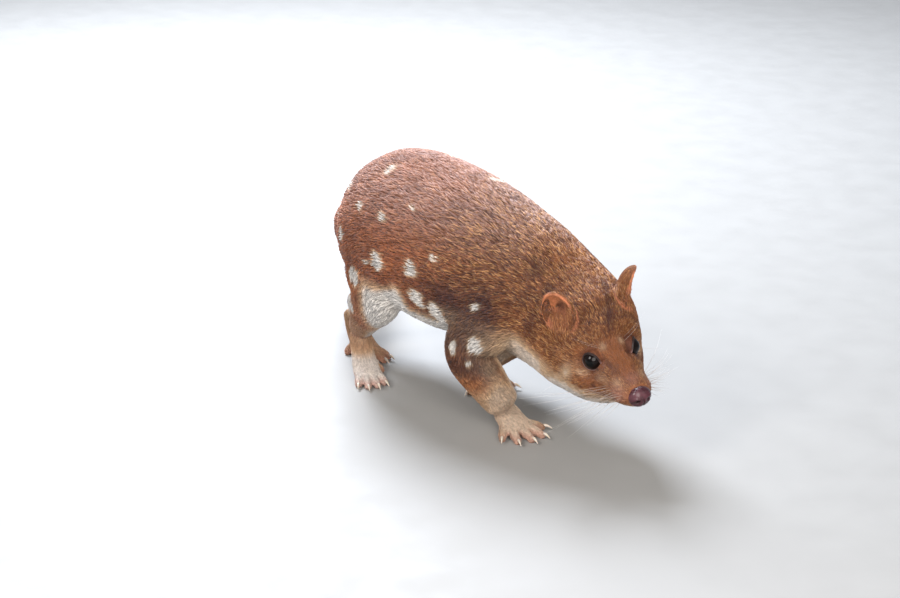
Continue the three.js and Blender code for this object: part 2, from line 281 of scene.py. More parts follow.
# A toe has its root on the foot, its turn to the foot's inner side and its length
FOREFOOT = {
    "palm": [(-9, 0, 12), (0, 0, 8.5), (9, 0, 6)],
    "sizes": [(9.5, 8.5, 8.5), (11, 6.5, 8), (12.5, 4.6, 6)],
    "toes": [
        ((4, 10, 5), 48, 15), ((10, 6.5, 5), 17, 18), ((11, 0, 5), 1, 19), ((10, -6.5, 5), -15, 18),
        ((5, -10.5, 5), -36, 15),
    ],
}
HINDFOOT = {
    "palm": [(-7, 0, 30), (-1, 0, 17), (11, 0, 7.5), (22, 0, 5.4)],
    "sizes": [(8.6, 9, 8.5), (9, 8, 8), (10.5, 5.6, 7.2), (11, 4.4, 5.4)],
    "toes": [
        ((4, 8, 6), 62, 9), ((20, 6.6, 4.6), 14, 16), ((22, 2, 4.6), 4, 18), ((22, -3, 4.6), -5, 18),
        ((20, -7.4, 4.6), -16, 15),
    ],
}
# A foot has its shape, its place, its yaw, and 1 where its inner side is to the left
FEET = {
    "forefoot_right": (FOREFOOT, (158, -31, -SOLE), -14, 1),
    "forefoot_left": (FOREFOOT, (84, 16, -SOLE), -20, -1),
    "hindfoot_right": (HINDFOOT, (-4, -30, -SOLE), -30, 1),
    "hindfoot_left": (HINDFOOT, (-42, 0, -SOLE), -16, -1),
}
TAIL = [
    (-18, 0, 124), (-48, 4, 110), (-76, 26, 86), (-104, 55, 67), (-134, 86, 55),
    (-164, 117, 50), (-194, 147, 49), (-220, 172, 51), (-244, 194, 56),
]


def tail_radius(share):
    return TAIL_ROOT_RADIUS + (TAIL_TIP_RADIUS - TAIL_ROOT_RADIUS) * share**TAIL_TAPER


def ear_cup(side, around=64, rows=20, pole=0.05):
    """An open cup with a rounded, slightly pointed tip, a rolled rim and folds inside."""
    theta = np.linspace(0, 2 * math.pi, around, endpoint=False)

    def ring(spread, inward):
        out = math.sin(spread)
        y = out * np.cos(theta)
        z = out * np.sin(theta)
        x = np.full(around, -math.cos(spread))
        tip = np.clip(z, 0, 1)
        half = EAR_HALF - inward
        y = y * (1 - 0.16 * tip**2)
        return np.stack([x * half[0] + 2.4 * tip**2, y * half[1], z * half[2] + 1.2 * tip**3], 1)

    open_at = math.radians(EAR_OPEN)
    spreads = np.linspace(pole, open_at, rows)
    outside = [ring(t, -0.7 * math.exp(-(((t - open_at) / 0.25) ** 2))) for t in spreads]
    rim = ring(open_at, EAR_WALL * 0.4)
    rim[:, 0] += EAR_WALL * 0.6
    inside = []
    for t in np.linspace(open_at, pole, rows):
        inner = ring(t, EAR_WALL + 0.9 * math.exp(-(((t - open_at) / 0.3) ** 2)))
        depth = math.sin(t)
        fold = 1.3 * math.exp(-((depth - 0.55) / 0.16) ** 2)
        inner[:, 0] += fold * (0.5 + 0.5 * np.cos(3 * theta - 0.6))
        inner[:, 0] += 4.5 * bump(depth * np.cos(theta), -0.6, 0.34) * bump(depth * np.sin(theta), -0.25, 0.6)
        inside.append(inner)
    points, faces = closed_rings(np.array(outside + [rim] + inside))
    points[:, 1] *= side
    return points @ ear_turn(side).T + ear_place(side), turned_out(faces) if side == RIGHT else faces


def toe_line(at, yaw, inner, toe):
    """A toe's middle line: from inside the foot, over the knuckle, down to the tip."""
    (x, y, z), angle, length = toe
    bend = math.radians(angle * inner)
    stations = [(-5, z), (length * 0.45, 4.8), (length - 3, 2.7)]
    return [
        on_foot(at, yaw, [x + reach * math.cos(bend), y * inner + reach * math.sin(bend), height])
        for reach, height in stations
    ]


def flesh_forms():
    """Every lofted form of the body, head, ears, limbs and tail, still apart."""
    forms = [
        loft(TRUNK_PLACES + SKULL_PLACES[:2], TRUNK_SIZES + SKULL_SIZES[:2], ends=(0.25, 0.5), sides=96),
        loft(
            TRUNK_PLACES[-2:] + SKULL_PLACES, TRUNK_SIZES[-2:] + SKULL_SIZES,
            crown=HEAD_TURN[:, 2], ends=(0.3, 0.35), sides=96, step=1.5,
        ),
    ]
    for places, sizes in LIMBS.values():
        forms.append(loft(places, sizes, crown=(1, 0, 0), ends=(0.5, 0.6)))
    for shape, at, yaw, inner in FEET.values():
        palm = [on_foot(at, yaw, spot) for spot in shape["palm"]]
        forms.append(loft(palm, shape["sizes"], ends=(0.5, 0.6), step=1.5))
        for toe in shape["toes"]:
            line = toe_line(at, yaw, inner, toe)
            radii = [TOE_RADIUS, TOE_RADIUS * 0.94, TOE_RADIUS * 0.86]
            forms.append(loft(line, [(r, r, r) for r in radii], ends=(0.6, 0.9), sides=24, step=1.2))
            knuckle = line[1] - [0, 0, 1.4]
            forms.append(egg((4.2, 3.5, 2.6), turn(0, 0, yaw), knuckle, 20))
    radii = tail_radius(np.linspace(0, 1, len(TAIL)))
    forms.append(loft(TAIL, [(r, r, r) for r in radii], ends=(0.7, 1.2)))
    for side in SIDES:
        forms.append(ear_cup(side))
        jowl = HEAD_TURN @ turn(0, 0, side * -14)
        forms.append(egg((13, 5, 7), jowl, on_head([-57, side * 25.5, -9])))
        forms.append(egg((8.5, 5, 6), HEAD_TURN, on_head([-17, side * 8.9, -3.6])))
    return forms


# Mesh helpers
def rough_mesh(name, forms):
    """One mesh of several closed forms, in the frame's metres."""
    points, faces, base = [], [], 0
    for part_points, part_faces in forms:
        points.append(part_points)
        faces += [tuple(int(v) + base for v in face) for face in part_faces]
        base += len(part_points)
    mesh = bpy.data.meshes.new(name)
    mesh.from_pydata(to_frame(np.vstack(points)).tolist(), [], faces)
    return mesh


def add_object(name, mesh):
    piece = bpy.data.objects.new(name, mesh)
    bpy.context.scene.collection.objects.link(piece)
    return piece


def settle(piece):
    """Applies the piece's modifiers to its mesh."""
    graph = bpy.context.evaluated_depsgraph_get()
    mesh = bpy.data.meshes.new_from_object(piece.evaluated_get(graph))
    piece.modifiers.clear()
    piece.data = mesh
    return mesh


def rows_of(items, label, width, kind=float):
    values = np.empty(len(items) * width, kind)
    items.foreach_get(label, values)
    return values.reshape(-1, width)


def points_of(mesh):
    return rows_of(mesh.vertices, "co", 3) * 1000 - SHIFT


def normals_of(mesh):
    return rows_of(mesh.vertices, "normal", 3)


def edges_of(mesh):
    return rows_of(mesh.edges, "vertices", 2, int)


def triangles_of(mesh):
    mesh.calc_loop_triangles()
    return rows_of(mesh.loop_triangles, "vertices", 3, int)


def set_points(mesh, points):
    mesh.vertices.foreach_set("co", to_frame(points).ravel())
    mesh.update()


def set_values(mesh, values):
    """Stores numbers or vectors at the mesh's points, for its material."""
    for name, value in values.items():
        kind, label = ("FLOAT_VECTOR", "vector") if value.ndim == 2 else ("FLOAT", "value")
        layer = mesh.attributes.new(name, kind, "POINT")
        layer.data.foreach_set(label, np.ascontiguousarray(value, np.float32).ravel())


def smoothed(values, edges, rounds, amounts=(0.5,)):
    """Values at the vertices, evened out with those of their neighbours."""
    values = np.array(values, float)
    if values.ndim == 1:
        return smoothed(values[:, None], edges, rounds, amounts)[:, 0]
    count = len(values)
    ends = np.concatenate([edges[:, 0], edges[:, 1]])
    others = np.concatenate([edges[:, 1], edges[:, 0]])
    share = np.bincount(ends, minlength=count)[:, None]
    for i in range(rounds):
        total = np.stack([np.bincount(ends, values[others, k], count) for k in range(values.shape[1])], 1)
        values += (total / share - values) * amounts[i % len(amounts)]
    return values


# The lie of the coat: lines to follow, each with its radius, tuft length, coat depth and tufts' density
FLOWS = {}


def add_flow(name, places, radius, length, depth, density):
    places = np.asarray(places, float)
    shares = np.linspace(0, 1, max(8, int(line_length(places) / 4)))
    line = on_line(places, shares)
    steps = np.linspace(0, 1, len(radius))
    FLOWS[name] = {
        "line": line,
        "ahead": unit(np.gradient(line, axis=0)),
        "way": np.concatenate([[0], np.cumsum(np.linalg.norm(np.diff(line, axis=0), axis=1))]),
        "values": np.stack([np.interp(shares, steps, v) for v in (radius, length, depth, density)], 1),
    }


add_flow(
    "spine", SKULL_PLACES[::-1] + TRUNK_PLACES[::-1],
    [10, 12.5, 16, 22, 28, 33.5, 38, 44, 49, 56, 61, 60, 53, 43, 27],
    [1.6, 2.0, 2.6, 3.2, 3.8, 4.5, 5.4, 6.6, 8.0, 9.5, 10, 10, 10, 10, 10],
    [0.3, 0.4, 0.6, 0.8, 1.0, 1.4, 1.8, 2.3, 2.6, 2.8, 2.8, 2.8, 2.8, 2.8, 2.6],
    [3.6, 3.2, 2.9, 2.6, 2.4, 2.2, 1.9, 1.5, 1.1, 0.8, 0.62, 0.58, 0.58, 0.62, 0.8],
)
add_flow(
    "tail", TAIL, [15, 12, 9, 7, 5.5],
    [12, 11, 10, 9, 9], [2.4, 2.2, 2, 1.8, 1.6], [0.9, 0.95, 1, 1.1, 1.2],
)
for name, (places, sizes) in LIMBS.items():
    add_flow(
        name, places, [size[0] for size in sizes],
        [9.5, 8, 6, 5, 3.6], [2.6, 2.2, 1.6, 1.1, 0.7], [0.75, 0.95, 1.2, 1.6, 2.0],
    )
for name, (shape, at, yaw, inner) in FEET.items():
    toe_end = (shape["palm"][-1][0] + 20, 0, 4)
    line = [on_foot(at, yaw, spot) for spot in shape["palm"] + [toe_end]]
    add_flow(name, line, [9, 9, 10, 12], [3.6, 3.0, 2.6, 1.8], [0.6, 0.5, 0.4, 0.3], [2.2, 2.4, 2.6, 2.6])
for side, name in ((RIGHT, "ear_right"), (LEFT, "ear_left")):
    low = ear_place(side) - ear_turn(side)[:, 2] * 15
    high = ear_place(side) + ear_turn(side)[:, 2] * 20
    add_flow(name, [low, ear_place(side), high], [10, 9, 8], [4.5, 3, 2.2], [0.8, 0.3, 0.25], [1.8, 2.2, 2.4])


def lie_of_coat(points, chunk=20000, nearest=0.05, sharpness=7):
    """The coat's direction and values at each point, its share of each line, and its place on each line."""
    names = list(FLOWS)
    count = len(points)
    ratio = np.empty((count, len(names)))
    pick = np.empty((count, len(names)), int)
    for start in range(0, count, chunk):
        some = points[start:start + chunk]
        for k, name in enumerate(names):
            flow = FLOWS[name]
            gap = (some**2).sum(1)[:, None] + (flow["line"] ** 2).sum(1) - 2 * some @ flow["line"].T
            gap = np.sqrt(np.maximum(gap, 0)) / flow["values"][:, 0]
            pick[start:start + chunk, k] = gap.argmin(1)
            ratio[start:start + chunk, k] = gap.min(1)
    weight = np.maximum(ratio, nearest) ** -sharpness
    weight /= weight.sum(1)[:, None]
    ahead = np.zeros((count, 3))
    values = np.zeros((count, 3))
    for k, name in enumerate(names):
        ahead += weight[:, k:k + 1] * FLOWS[name]["ahead"][pick[:, k]]
        values += weight[:, k:k + 1] * FLOWS[name]["values"][pick[:, k], 1:]
    homes = {name: weight[:, k] for k, name in enumerate(names)}
    places = {name: pick[:, k] for k, name in enumerate(names)}
    return ahead, values, homes, places


# Markings. A spot has its middle and its half length along the body and half height
SPOT_DEPTH = 16
SPOTS = [
    (43, -58, 110, 7, 8.5), (79, -58, 112, 6, 7), (81, -53, 88, 7, 9), (98, -47, 78, 7.5, 13),
    (141, -53, 68, 5.5, 7), (123, -56, 63, 4, 5), (137, -56, 53, 3, 3), (12, -54, 90, 7, 7.5),
    (43, -52, 143, 4.5, 4.5), (138, -49, 96, 4.5, 3.2), (100, -54, 125, 3, 2.6), (68, -44, 154, 3, 2.6),
    (28, -30, 171, 3.6, 3.2), (15, -49, 145, 3.6, 3.4), (29, -57, 106, 3, 3), (-8, -44, 118, 5, 6),
    (-14, -26, 150, 4, 4), (-22, -30, 96, 5, 5), (6, -48, 62, 4, 5),
    (52, 56, 118, 7, 8), (88, 57, 106, 6.5, 7.5), (70, 55, 84, 7, 8), (112, 52, 96, 6, 7),
    (24, 57, 100, 7, 7.5), (30, 52, 140, 5, 5), (70, 48, 150, 4.5, 4.5), (106, 46, 134, 4, 4),
    (136, 50, 74, 5, 6), (4, 50, 126, 5.5, 6), (-16, 34, 142, 4.5, 4.5), (-4, 46, 84, 5.5, 6),
    (44, 26, 175, 4, 4), (128, 46, 112, 4, 4), (-26, 24, 100, 5, 5), (96, 20, 168, 3.6, 3.6),
]
# A tail spot has its share of the tail, its turn about it from the top, and its half length and width
TAIL_SPOTS = [
    (0.10, 70, 7, 5), (0.13, -60, 6, 5), (0.20, 10, 7, 4.5), (0.25, 110, 6, 4), (0.28, -95, 7, 4.5),
    (0.35, 50, 6, 4), (0.38, -30, 6.5, 4), (0.45, -130, 5, 3.6), (0.47, 85, 6, 3.6), (0.54, 5, 6, 3.6),
    (0.57, -85, 5.5, 3.4), (0.64, 60, 5, 3.2), (0.67, -35, 5, 3), (0.75, 100, 4.5, 2.8), (0.78, -5, 5, 2.8),
    (0.86, -80, 4, 2.6), (0.89, 45, 4, 2.4),
]
# A patch on both sides of the face has its strength, its place back, out and up, and its half sizes
PALE_PATCHES = [
    (0.50, (43, 7.3, 20), (2.6, 2.2, 3)), (0.65, (46, 22, 1.5), (5, 7, 2)),
    (0.25, (30, 15.5, 3), (7, 4, 3)), (0.36, (18, 10.6, 5), (5, 4, 3.6)),
]
DUSKY_PATCHES = [
    (1.0, (37, 11, 13.5), (4.2, 3.6, 4.6)), (0.9, (44.5, 13, 18), (4.0, 4.6, 2.2)),
    (0.5, (15, 0, 8), (7, 5, 4)),
]
PINK_PATCHES = [
    (0.7, (14, 12, -1), (8, 6, 6)), (0.5, (14, 0, 8), (6, 7, 4)), (0.9, (34.5, 13.5, 10.5), (2.6, 2.4, 1.8)),
]
BLOTCHED_CHEEK = (0.8, (38, 21, -4), (10, 9, 5))
WHISKER_PAD = (0.9, (14, 12, -2), (6, 6, 5))
BEHIND_EAR = (0.7, (90, 37, 16), (6, 9, 13))


def mouth_line(back):
    return -8.6 - 0.07 * back


def whisker_rows(back, high):
    """1 on the rows of the whiskers and -1 between them."""
    return np.cos((high + WHISKER_ROW_SLOPE * back) * 2 * math.pi / WHISKER_ROW_GAP)


def spot_mask(points):
    mask = np.zeros(len(points))
    warp = points + 0.7 * np.stack([ripple(points, 9, seed) for seed in (3, 4, 5)], 1)
    for x, y, z, long, high in SPOTS:
        way = (warp - [x, y, z]) / [long, SPOT_DEPTH, high]
        mask = np.maximum(mask, 1 - soft(np.linalg.norm(way, axis=1), 0.86, 1.12))
    shares = np.array([spot[0] for spot in TAIL_SPOTS])
    for spot, middle, ahead in zip(TAIL_SPOTS, on_line(TAIL, shares), heading(TAIL, shares)):
        share, angle, long, wide = spot
        side = unit(np.cross([0, 0, 1], ahead))
        up = np.cross(ahead, side)
        radius = tail_radius(share)
        out = math.cos(math.radians(angle)) * up + math.sin(math.radians(angle)) * side
        across = np.cross(ahead, out)
        gap = warp - (middle + out * radius)
        way = np.stack([gap @ ahead / long, gap @ across / wide, gap @ out / (radius * 1.2)], 1)
        mask = np.maximum(mask, 1 - soft(np.linalg.norm(way, axis=1), 0.84, 1.14))
    return mask


def in_ear(points, normals):
    """How far a point is on the bare inner face of an ear's cup, and how much painted shade its hollow gets.
    """
    inside = np.zeros(len(points))
    painted_recess_shade = np.zeros(len(points))
    for side in SIDES:
        local = (points - ear_place(side)) @ ear_turn(side)
        facing = normals @ ear_turn(side)
        near = np.linalg.norm(local / (EAR_HALF + 1.5), axis=1)
        inward = -(facing[:, 1:] * unit(local[:, 1:])).sum(1)
        bare = np.maximum(soft(facing[:, 0], -0.1, 0.35), soft(inward, 0.0, 0.4))
        bare *= (1 - soft(near, 0.97, 1.08)) * soft(local[:, 2], -17, -8)
        front, up = -side * local[:, 1] / EAR_HALF[1], local[:, 2] / EAR_HALF[2]
        furry_front = soft(front, 0.1, 0.4) * (1 - soft(up, 0.3, 0.7)) * (1 - soft(near, 0.86, 0.93))
        furry_foot = (1 - soft(up, -0.3, 0.0)) * (1 - soft(np.hypot(front, up), 0.74, 0.88))
        bare *= 1 - 0.9 * np.maximum(furry_front, furry_foot)
        inside = np.maximum(inside, bare)
        # The hollow of each cup gets painted shade
        hollow = 1 - soft(np.hypot(front - 0.12, up + 0.05), 0.26, 0.56)
        painted_recess_shade = np.maximum(painted_recess_shade, bare * hollow)
    return inside, painted_recess_shade


class Site:
    """Points of the skin, with the measures that the markings are drawn by."""

    def __init__(self, points, normals):
        self.points, self.normals = points, normals
        _, _, self.homes, self.places = lie_of_coat(points)
        spine, pick = FLOWS["spine"], self.places["spine"]
        ahead = spine["ahead"][pick]
        up = unit(np.array([0, 0, 1.0]) - ahead * ahead[:, 2:3])
        self.rise = (unit(points - spine["line"][pick]) * up).sum(1)
        self.way = spine["way"][pick]
        self.body = self.homes["spine"]
        head = in_head(points)
        self.back, self.left, self.high = -head[:, 0], head[:, 1], head[:, 2]
        self.wide = np.abs(self.left)
        head_homes = self.body + self.homes["ear_right"] + self.homes["ear_left"]
        self.on_skull = soft(92 - self.back, 0, 12) * head_homes
        self.waver = ripple(points, 26, 21)
        self.fine = ripple(points, 7, 22)

    def patch(self, strength, at, size):
        measures = zip((self.back, self.wide, self.high), at, size)
        return strength * math.prod(bump(*measure) for measure in measures)


def pale_marks(site):
    """The white and cream of the belly, chest, jaw and face, and the spots."""
    back, wide, high, rise, way = site.back, site.wide, site.high, site.rise, site.way
    belly = soft(-rise, 0.52, 0.74) * soft(way, 150, 190)
    chest = soft(-rise, 0.2, 0.55) * soft(way, 62, 92) * (1 - soft(way, 150, 200))
    jaw_line = 12.5 - 3.5 * (1 - soft(back, 12, 26)) - 4 * bump(back, 62, 9) + site.fine
    under = soft(-high, jaw_line + 4, jaw_line + 12)
    jaw = soft(-high, jaw_line - 3, jaw_line + 4) * (0.6 + 0.3 * under)
    face = [site.patch(*patch) for patch in PALE_PATCHES]
    face.append(0.75 * bump(back + 0.3 * high, 56, 5) * bump(high, -4, 8) * soft(wide, 18, 24))
    spots = spot_mask(site.points) * (1 - site.on_skull)
    on_head_marks = [mark * site.on_skull for mark in (jaw, np.maximum.reduce(face))]
    return np.maximum.reduce([belly * site.body, 0.85 * chest * site.body, spots, *on_head_marks])


def leg_marks(site):
    """The pale, rusty and dusky shares of the legs and feet."""
    pale, rust, dusk = np.zeros((3, len(site.points)))
    for name in LIMBS:
        home = site.homes[name]
        share = site.places[name] / (len(FLOWS[name]["line"]) - 1)
        outward = -site.normals[:, 1] if "right" in name else site.normals[:, 1]
        inner = soft(-outward, 0.1, 0.6)
        if "fore" in name:
            wavy = share + 0.05 * site.waver
            pale += home * np.maximum(0.72 * soft(wavy, 0.58, 0.95), inner * 0.8)
            dusk += home * (1 - soft(wavy, 0.34, 0.56)) * 0.9
            rust += home * bump(share, 0.55, 0.2)
            continue
        dusk += home * (1 - soft(share, 0.3, 0.7)) * 0.35
        if "right" in name:
            front = soft(site.normals[:, 0], 0.15, 0.6) * soft(share, 0.1, 0.3)
            hock = soft(share + 0.04 * site.waver, 0.6, 0.85)
            pale += home * np.maximum.reduce([hock * 0.35, inner * (1 - 0.4 * hock), front])
            rust += home * hock * 0.8
        else:
            pale += home * np.maximum(0.45 * soft(share, 0.55, 1), inner)
            rust += home * soft(share, 0.4, 0.8) * 0.8
    heel = soft(site.points[:, 2], 12, 24)
    for name, pale_share, rust_share in (
        ("forefoot_right", 0.75, 0), ("forefoot_left", 0.75, 0),
        ("hindfoot_right", 0.9 - 0.5 * heel, 0.8 * heel), ("hindfoot_left", 0.4, 0.7),
    ):
        pale += site.homes[name] * pale_share
        rust += site.homes[name] * rust_share
    return pale, rust, dusk


def dusk_and_painted_shade(site, streak):
    """The dark nape and tail, the dark marks of the head, and painted shade low on the flank and shoulder."""
    x, y, z = site.points.T
    back, wide, high, rise, waver = site.back, site.wide, site.high, site.rise, site.waver
    # Painted shade: darker towards the bottom of the flank, strongest just behind the shoulder
    lower = 1 - soft(z + 4 * waver, 96, 124)
    lower_flank_shade = lower * (0.35 + 0.65 * soft(x, 60, 96)) * (1 - soft(x + 3 * waver, 148, 164)) * soft(x, -20, 20)
    # Painted shade on the lower part of the shoulder's outer side
    lower_shoulder_shade = soft(x, 88, 106) * (1 - soft(x, 148, 162)) * (1 - soft(z, 98, 118)) * soft(z, 34, 50)
    lower_shoulder_shade *= soft(abs(y), 30, 40)
    hair_rows = soft(ripple(site.points, 12, 23) + 0.6 * site.fine, 0.2, 1.4)
    nape = hair_rows * bump(site.way, 108, 26) * soft(rise, -0.3, 0.1) * (1 - soft(rise, 0.75, 0.95)) * 0.75
    eye_gaps = [np.linalg.norm(site.points - eye_place(side), axis=1) for side in SIDES]
    eye_rim = 1 - soft(np.minimum(*eye_gaps), 8.8, 10.2)
    nose_line = bump(wide, 4.6 + 0.32 * (back - 19), 1.7) * soft(back, 12, 18) * (1 - soft(back, 32, 38))
    nose_line *= soft(high, 2, 5) * 0.45
    blots = soft(ripple(site.points * [1, 1, 1.6], 9, 27), 0.1, 1.1) * site.patch(*BLOTCHED_CHEEK)
    rows = soft(whisker_rows(back, high), 0.0, 0.8) * site.patch(*WHISKER_PAD)
    face = np.maximum.reduce([nose_line, blots, rows] + [site.patch(*patch) for patch in DUSKY_PATCHES])
    return np.maximum.reduce([
        lower_flank_shade * site.body * 0.9, lower_shoulder_shade * 0.95, streak * 0.8, nape * site.body, site.patch(*BEHIND_EAR),
        site.homes["tail"] * 0.3, eye_rim * 0.8, face * site.on_skull,
    ])


def markings(points, normals):
    """Shares of each colour of the coat at points of the skin, painted shade and painted sheen among them."""
    site = Site(points, normals)
    x, y, z = points.T
    back, left, high, waver = site.back, site.left, site.high, site.waver
    streak = bump(left, 3 + 0.45 * (back - 52) + 0.6 * site.fine, 3.2)
    streak *= soft(back, 44, 52) * (1 - soft(back, 80, 90)) * soft(high, 5, 15)
    leg_pale, leg_rust, leg_dusk = leg_marks(site)

    thigh = soft(x, 14, 28) * (1 - soft(x, 60, 70)) * (1 - soft(z + 2 * waver, 82, 96))
    thigh *= soft(z, 30, 44) * soft(abs(y), 18, 26)
    pale = np.clip(np.maximum.reduce([pale_marks(site), leg_pale, thigh]), 0, 1)

    lips = bump(high, mouth_line(back), 1.1) * (1 - soft(back, 38, 42)) * 0.8
    inner_ear, ear_hollow_shade = in_ear(points, normals)
    dusk = np.clip(np.maximum(dusk_and_painted_shade(site, streak), leg_dusk) + 0.12 * waver, 0, 1)
    # Painted shade in each ear's hollow is added to the dark
    dusk = np.maximum.reduce([dusk * (1 - inner_ear), lips, ear_hollow_shade * 0.8])

    bridge = bump(left, 0, 7) * (1 - soft(back, 40, 52)) * soft(high, 0, 6) * soft(back, 14, 24)
    cheek = bump(back, 38, 10) * bump(high, -2, 7) * 0.8 * site.on_skull
    rust = np.clip(np.maximum.reduce([bridge, cheek, leg_rust]), 0, 1)
    mane = soft(site.way, 60, 90) * (1 - soft(site.way, 150, 230))
    gold = np.clip(site.on_skull + mane, 0, 1) * (1 - rust)

    soles = np.zeros(len(points))
    for name in FEET:
        soles += site.homes[name] * np.maximum(soft(-normals[:, 2], 0.2, 0.6), (1 - soft(z, 3, 7)) * 0.8)
    pink = [site.patch(*patch) for patch in PINK_PATCHES]
    bare = np.clip(np.maximum.reduce([inner_ear * (1 - 0.8 * ear_hollow_shade), soles, lips * 0.5, *pink]), 0, 1)
    return {
        "pale": pale * (1 - streak), "dusk": dusk, "rust": rust, "gold": gold, "bare": bare,
        "ear": inner_ear * (1 - 0.85 * ear_hollow_shade),
        # Painted sheen: paler tips on the top of the back and rump, where light from behind falls
        "painted_sheen": soft(z, 118, 165) * site.body * (1 - soft(x, 150, 190)),
    }


# Node materials
class Socket:
    """A node's output that takes part in plain arithmetic."""

    def __init__(self, finish, output):
        self.finish, self.output = finish, output

    def math(self, operation, *values):
        inputs = dict(enumerate(values))
        return self.finish.node("ShaderNodeMath", {"operation": operation}, inputs)

    def __add__(self, other):
        return self.math("ADD", self, other)

    def __radd__(self, other):
        return self.math("ADD", other, self)

    def __mul__(self, other):
        return self.math("MULTIPLY", self, other)

    def __rmul__(self, other):
        return self.math("MULTIPLY", other, self)


class Finish:
    """A procedural material that is built node by node."""

    def __init__(self, name, **fixed):
        self.material = bpy.data.materials.new(name)
        self.material.use_nodes = True
        self.tree = self.material.node_tree
        self.tree.nodes.clear()
        self.shader = self.tree.nodes.new("ShaderNodeBsdfPrincipled")
        end = self.tree.nodes.new("ShaderNodeOutputMaterial")
        self.tree.links.new(self.shader.outputs[0], end.inputs["Surface"])
        for label, value in fixed.items():
            self.set(label.replace("_", " "), value)

    def put(self, slot, value):
        if isinstance(value, Socket):
            self.tree.links.new(value.output, slot)
        else:
            slot.default_value = value

    def set(self, label, value):
        self.put(self.shader.inputs[label], value)

    def node(self, kind, settings=None, values=None, output=0):
        """Any node, from its type, its settings, and the values or links of its sockets."""
        made = self.tree.nodes.new(kind)
        for label, value in (settings or {}).items():
            setattr(made, label, value)
        for label, value in (values or {}).items():
            self.put(made.inputs[label], value)
        return Socket(self, made.outputs[output])

    def attribute(self, name, output="Fac"):
        return self.node("ShaderNodeAttribute", {"attribute_name": name}, output=output)

    def place(self):
        return self.node("ShaderNodeTexCoord", output="Object")

    def noise(self, vector, scale, detail):
        values = {"Vector": vector, "Scale": scale, "Detail": detail, "Roughness": 0.5}
        return self.node("ShaderNodeTexNoise", values=values)

    def stretched(self, vector, sizes):
        return self.node("ShaderNodeVectorMath", {"operation": "MULTIPLY"}, {0: vector, 1: sizes})

    def mix(self, share, first, second):
        values = {0: share, 6: self.colour(first), 7: self.colour(second)}
        return self.node("ShaderNodeMix", {"data_type": "RGBA", "blend_type": "MIX"}, values, output=2)

    def colour(self, value):
        return value if isinstance(value, Socket) else (*value, 1.0)

    def ramp(self, value, start, end, low=0.0, high=1.0):
        values = {0: value, 1: start, 2: end, 3: low, 4: high}
        return self.node("ShaderNodeMapRange", {"interpolation_type": "SMOOTHSTEP"}, values)

    def relief(self, height, strength, distance):
        values = {"Height": height, "Strength": strength, "Distance": distance}
        self.set("Normal", self.node("ShaderNodeBump", values=values))


RUFOUS = (0.33, 0.100, 0.038)
BRICK = (0.46, 0.165, 0.076)
DUSK = (0.070, 0.022, 0.018)
HONEY = (0.80, 0.45, 0.18)
UMBER = (0.23, 0.085, 0.026)
RUST = (0.34, 0.125, 0.044)
CREAM = (0.82, 0.60, 0.39)
WHITE = (0.80, 0.76, 0.72)
PINK = (0.56, 0.27, 0.20)
# The ashen colour of the painted sheen on the back and rump
PAINTED_SHEEN_ASH = (0.55, 0.41, 0.37)
# The inner ear's pink skin, made brighter and more orange as a painted glow of light shining through the ear
EAR_PINK_WITH_PAINTED_GLOW = (0.76, 0.27, 0.115)


def coat_colour(finish, root, along, lot):
    """The coat's colour from markings, painted shade, sheen and ear glow, with grizzled hairs and paler or
    darker tips.
    """
    names = ("pale", "dusk", "rust", "gold", "bare", "painted_sheen", "ear")
    pale, dusk, rust, gold, bare, painted_sheen, ear = (finish.attribute(name) for name in names)
    fine = finish.noise(root, 700, 3)
    patch = finish.noise(root, 45, 2)
    dark_hair = finish.ramp(lot, 0.16, 0.24, 1.0, 0.0)
    bright_hair = finish.ramp(lot, 0.70, 0.86)
    base = finish.mix(patch, RUFOUS, BRICK)
    base = finish.mix(along * 0.35, base, BRICK)
    base = finish.mix(gold * 0.7, base, UMBER)
    # Painted sheen: ashen tips on the top of the back and rump
    base = finish.mix(painted_sheen * (0.15 + 0.42 * along), base, PAINTED_SHEEN_ASH)
    base = finish.mix(bright_hair * (0.18 + 0.55 * gold) * (0.35 + 0.65 * along), base, HONEY)
    base = finish.mix(dark_hair * (0.14 + 0.56 * gold), base, DUSK)
    base = finish.mix(rust * 0.85, base, RUST)
    # The dusk holds the dark marks and also painted shade on the lower flank, shoulder and in the ear hollows
    base = finish.mix(dusk * (0.72 + 0.28 * along), base, DUSK)
    base = finish.mix(pale, base, finish.mix(finish.ramp(pale, 0.55, 1.0), CREAM, WHITE))
    base = finish.mix(bare * 0.8, base, PINK)
    # Pink ear skin with the painted glow of light through the ear
    base = finish.mix(ear * 0.9, base, EAR_PINK_WITH_PAINTED_GLOW)
    shade = finish.ramp(fine, 0.3, 0.75, 0.72, 1.18) * (0.84 + 0.30 * lot) * (0.74 + 0.32 * along)
    return finish.node("ShaderNodeVectorMath", {"operation": "SCALE"}, {0: base, "Scale": shade})


def coat_finish():
    finish = Finish("coat of tufts", Sheen_Weight=0.10, Sheen_Roughness=0.4, Specular_IOR_Level=0.22)
    finish.set("Sheen Tint", (0.78, 0.84, 1.0, 1.0))
    root = finish.attribute("root", "Vector")
    lot = finish.attribute("lot")
    finish.set("Base Color", coat_colour(finish, root, finish.attribute("along"), lot))
    finish.set("Roughness", finish.ramp(lot, 0.0, 1.0, 0.46, 0.66))
    return finish.material


